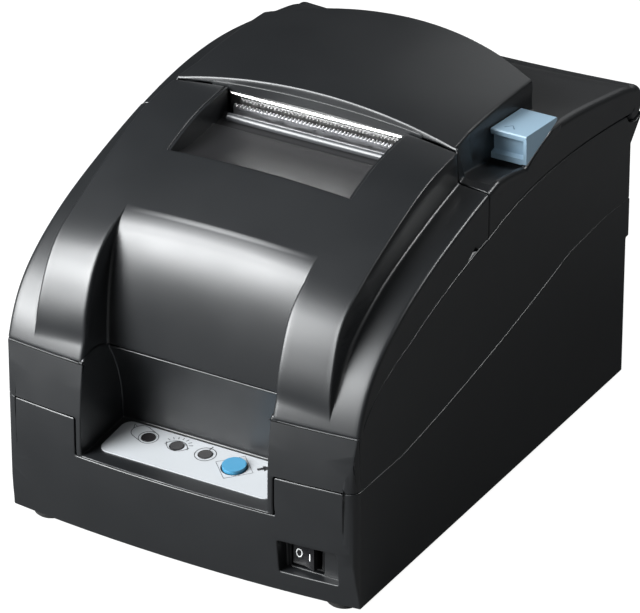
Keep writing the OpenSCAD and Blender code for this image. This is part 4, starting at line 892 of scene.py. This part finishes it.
class PRINTER_OT_print_marks(bpy.types.Operator):
    """Prints the signs on the panel label, the rocker and the lever"""
    bl_idname = "printer.print_marks"
    bl_label = "Printed marks"

    def execute(self, context):
        signs = roll_sign(-25) + eye_sign(-12) + power_sign(1) + feed_sign(*FEED_KEY)
        place(flat_marks("panel_signs", signs, on_label), MATERIALS["ink"], "case")
        switch = flat_marks("rocker_signs", [(ring(-2.4, 0, 1.15, 1.7), 0.42),
                                             ([(3.1, -1.6), (3.1, 1.6)], 0.5)], on_rocker)
        place(switch, MATERIALS["white_ink"], "rocker")
        arrow = flat_marks("lever_sign", [([(66.4, 23.2), (68.6, 26.2), (70.8, 23.2)], 0.5)], on_lever)
        place(arrow, MATERIALS["lever_mark"], "lever")
        return {"FINISHED"}


class PRINTER_OT_make_stage(bpy.types.Operator):
    """Sets the floor, the soft lamps, the pale surround and the camera"""
    bl_idname = "printer.make_stage"
    bl_label = "Stage"

    def execute(self, context):
        make_floor()
        make_surround(context.scene)
        for name, spot, size, power, colour in LAMPS:
            make_lamp(name, spot, size, power, colour)
        make_camera(context.scene)
        return {"FINISHED"}


# ---- Stage ----
# name, place, size, power and colour of each lamp
LAMPS = (
    ("key_softbox", (-0.76, -1.12, 0.82), 0.9, 48, (0.97, 0.99, 1)),
    ("top_softbox", (-0.62, -0.72, 1.2), 0.7, 14, (0.96, 0.98, 1)),
    ("low_fill", (-0.8, -1.2, 0.4), 0.42, 14, (0.97, 0.99, 1)),
    ("right_fill", (0.5, -1.0, 1.0), 0.4, 2, (0.97, 0.99, 1)),
    ("edge_strip", (0.75, 0.6, 1.1), 0.25, 9, (0.97, 0.99, 1)),
    ("back_strip", (-0.2, 1.5, 0.9), 0.8, 1.8, (0.97, 0.99, 1)),
)
# what the camera looks at, its turn and rise, its distance in metres and its lens
CAMERA_AIM = Vector((-0.0049, 0.0028, 0.060))
CAMERA_TURN = math.radians(30.29)
CAMERA_RISE = math.radians(28.69)
CAMERA_DISTANCE = 2.114
CAMERA_LENS = 296.6


def white_for_camera(tree, plain, white):
    """Shader that the camera sees as white, while other rays meet the plain one."""
    path = tree.nodes.new("ShaderNodeLightPath")
    mix = tree.nodes.new("ShaderNodeMixShader")
    tree.links.new(path.outputs["Is Camera Ray"], mix.inputs[0])
    tree.links.new(plain, mix.inputs[1])
    tree.links.new(white, mix.inputs[2])
    return mix.outputs[0]


def make_floor():
    """Wide floor that looks white and still takes the printer's shadow."""
    corners = [(-4000, -4000, 0), (4000, -4000, 0), (-4000, 4000, 0), (4000, 4000, 0)]
    floor = new_piece("studio_floor", corners, [(0, 1, 3, 2)])
    material = bpy.data.materials.new("studio_floor_white")
    material.use_nodes = True
    tree = material.node_tree
    shader = tree.nodes["Principled BSDF"]
    shader.inputs["Base Color"].default_value = (0.12, 0.12, 0.12, 1)
    shader.inputs["Roughness"].default_value = 0.9
    shader.inputs["Specular IOR Level"].default_value = 0
    glow = tree.nodes.new("ShaderNodeEmission")
    glow.inputs["Strength"].default_value = 0.96
    both = tree.nodes.new("ShaderNodeAddShader")
    tree.links.new(shader.outputs[0], both.inputs[0])
    tree.links.new(glow.outputs[0], both.inputs[1])
    out = white_for_camera(tree, shader.outputs[0], both.outputs[0])
    tree.links.new(out, tree.nodes["Material Output"].inputs["Surface"])
    paint(floor, material)


def make_surround(scene):
    """Pale room light, with a white background."""
    world = bpy.data.worlds.new("studio_surround")
    world.use_nodes = True
    tree = world.node_tree
    plain = tree.nodes["Background"]
    plain.inputs["Color"].default_value = (1, 1, 1, 1)
    plain.inputs["Strength"].default_value = 0.035
    white = tree.nodes.new("ShaderNodeBackground")
    white.inputs["Strength"].default_value = 1
    out = white_for_camera(tree, plain.outputs[0], white.outputs[0])
    tree.links.new(out, tree.nodes["World Output"].inputs["Surface"])
    scene.world = world


def make_lamp(name, spot, size, power, colour):
    """Square softbox that faces the printer."""
    light = bpy.data.lights.new(name, "AREA")
    light.shape = "SQUARE"
    light.size = size
    light.energy = power
    light.color = colour
    obj = bpy.data.objects.new(name, light)
    obj.location = spot
    obj.rotation_euler = (Vector((0, 0, 0.08)) - Vector(spot)).to_track_quat("-Z", "Y").to_euler()
    bpy.context.scene.collection.objects.link(obj)


def make_camera(scene):
    """Long lens, turned to the right of the front and raised."""
    data = bpy.data.cameras.new("studio_camera")
    data.lens = CAMERA_LENS
    data.sensor_width = 36
    obj = bpy.data.objects.new("studio_camera", data)
    back = Vector((math.sin(CAMERA_TURN) * math.cos(CAMERA_RISE),
                   -math.cos(CAMERA_TURN) * math.cos(CAMERA_RISE), math.sin(CAMERA_RISE)))
    obj.location = CAMERA_AIM + back * CAMERA_DISTANCE
    obj.rotation_euler = (-back).to_track_quat("-Z", "Y").to_euler()
    data.clip_end = 20
    scene.collection.objects.link(obj)
    scene.camera = obj
    scene.view_settings.view_transform = "Standard"


class PRINTER_PT_panel(bpy.types.Panel):
    """Lists the steps that dress the printer"""
    bl_idname = "PRINTER_PT_panel"
    bl_label = "Printer"
    bl_space_type = "VIEW_3D"
    bl_region_type = "UI"
    bl_category = "Printer"

    def draw(self, context):
        for group in (context.scene.printer_sizes, context.scene.printer_finish):
            for name in group.__annotations__:
                self.layout.prop(group, name)
        for step in STEPS:
            self.layout.operator(step.bl_idname)


STEPS = (
    PRINTER_OT_finish_parts,
    PRINTER_OT_make_ribbon_cover,
    PRINTER_OT_make_roll_cover,
    PRINTER_OT_print_marks,
    PRINTER_OT_make_stage,
)
CLASSES = (PrinterSizes, PrinterFinish, *STEPS, PRINTER_PT_panel)


def register():
    for cls in CLASSES:
        bpy.utils.register_class(cls)
    bpy.types.Scene.printer_sizes = bpy.props.PointerProperty(type=PrinterSizes)
    bpy.types.Scene.printer_finish = bpy.props.PointerProperty(type=PrinterFinish)


def unregister():
    del bpy.types.Scene.printer_finish
    del bpy.types.Scene.printer_sizes
    for cls in reversed(CLASSES):
        bpy.utils.unregister_class(cls)


def main():
    """Runs every step in order."""
    register()
    for step in STEPS:
        getattr(bpy.ops.printer, step.bl_idname.split(".")[1])()


if __name__ == "__main__":
    main()
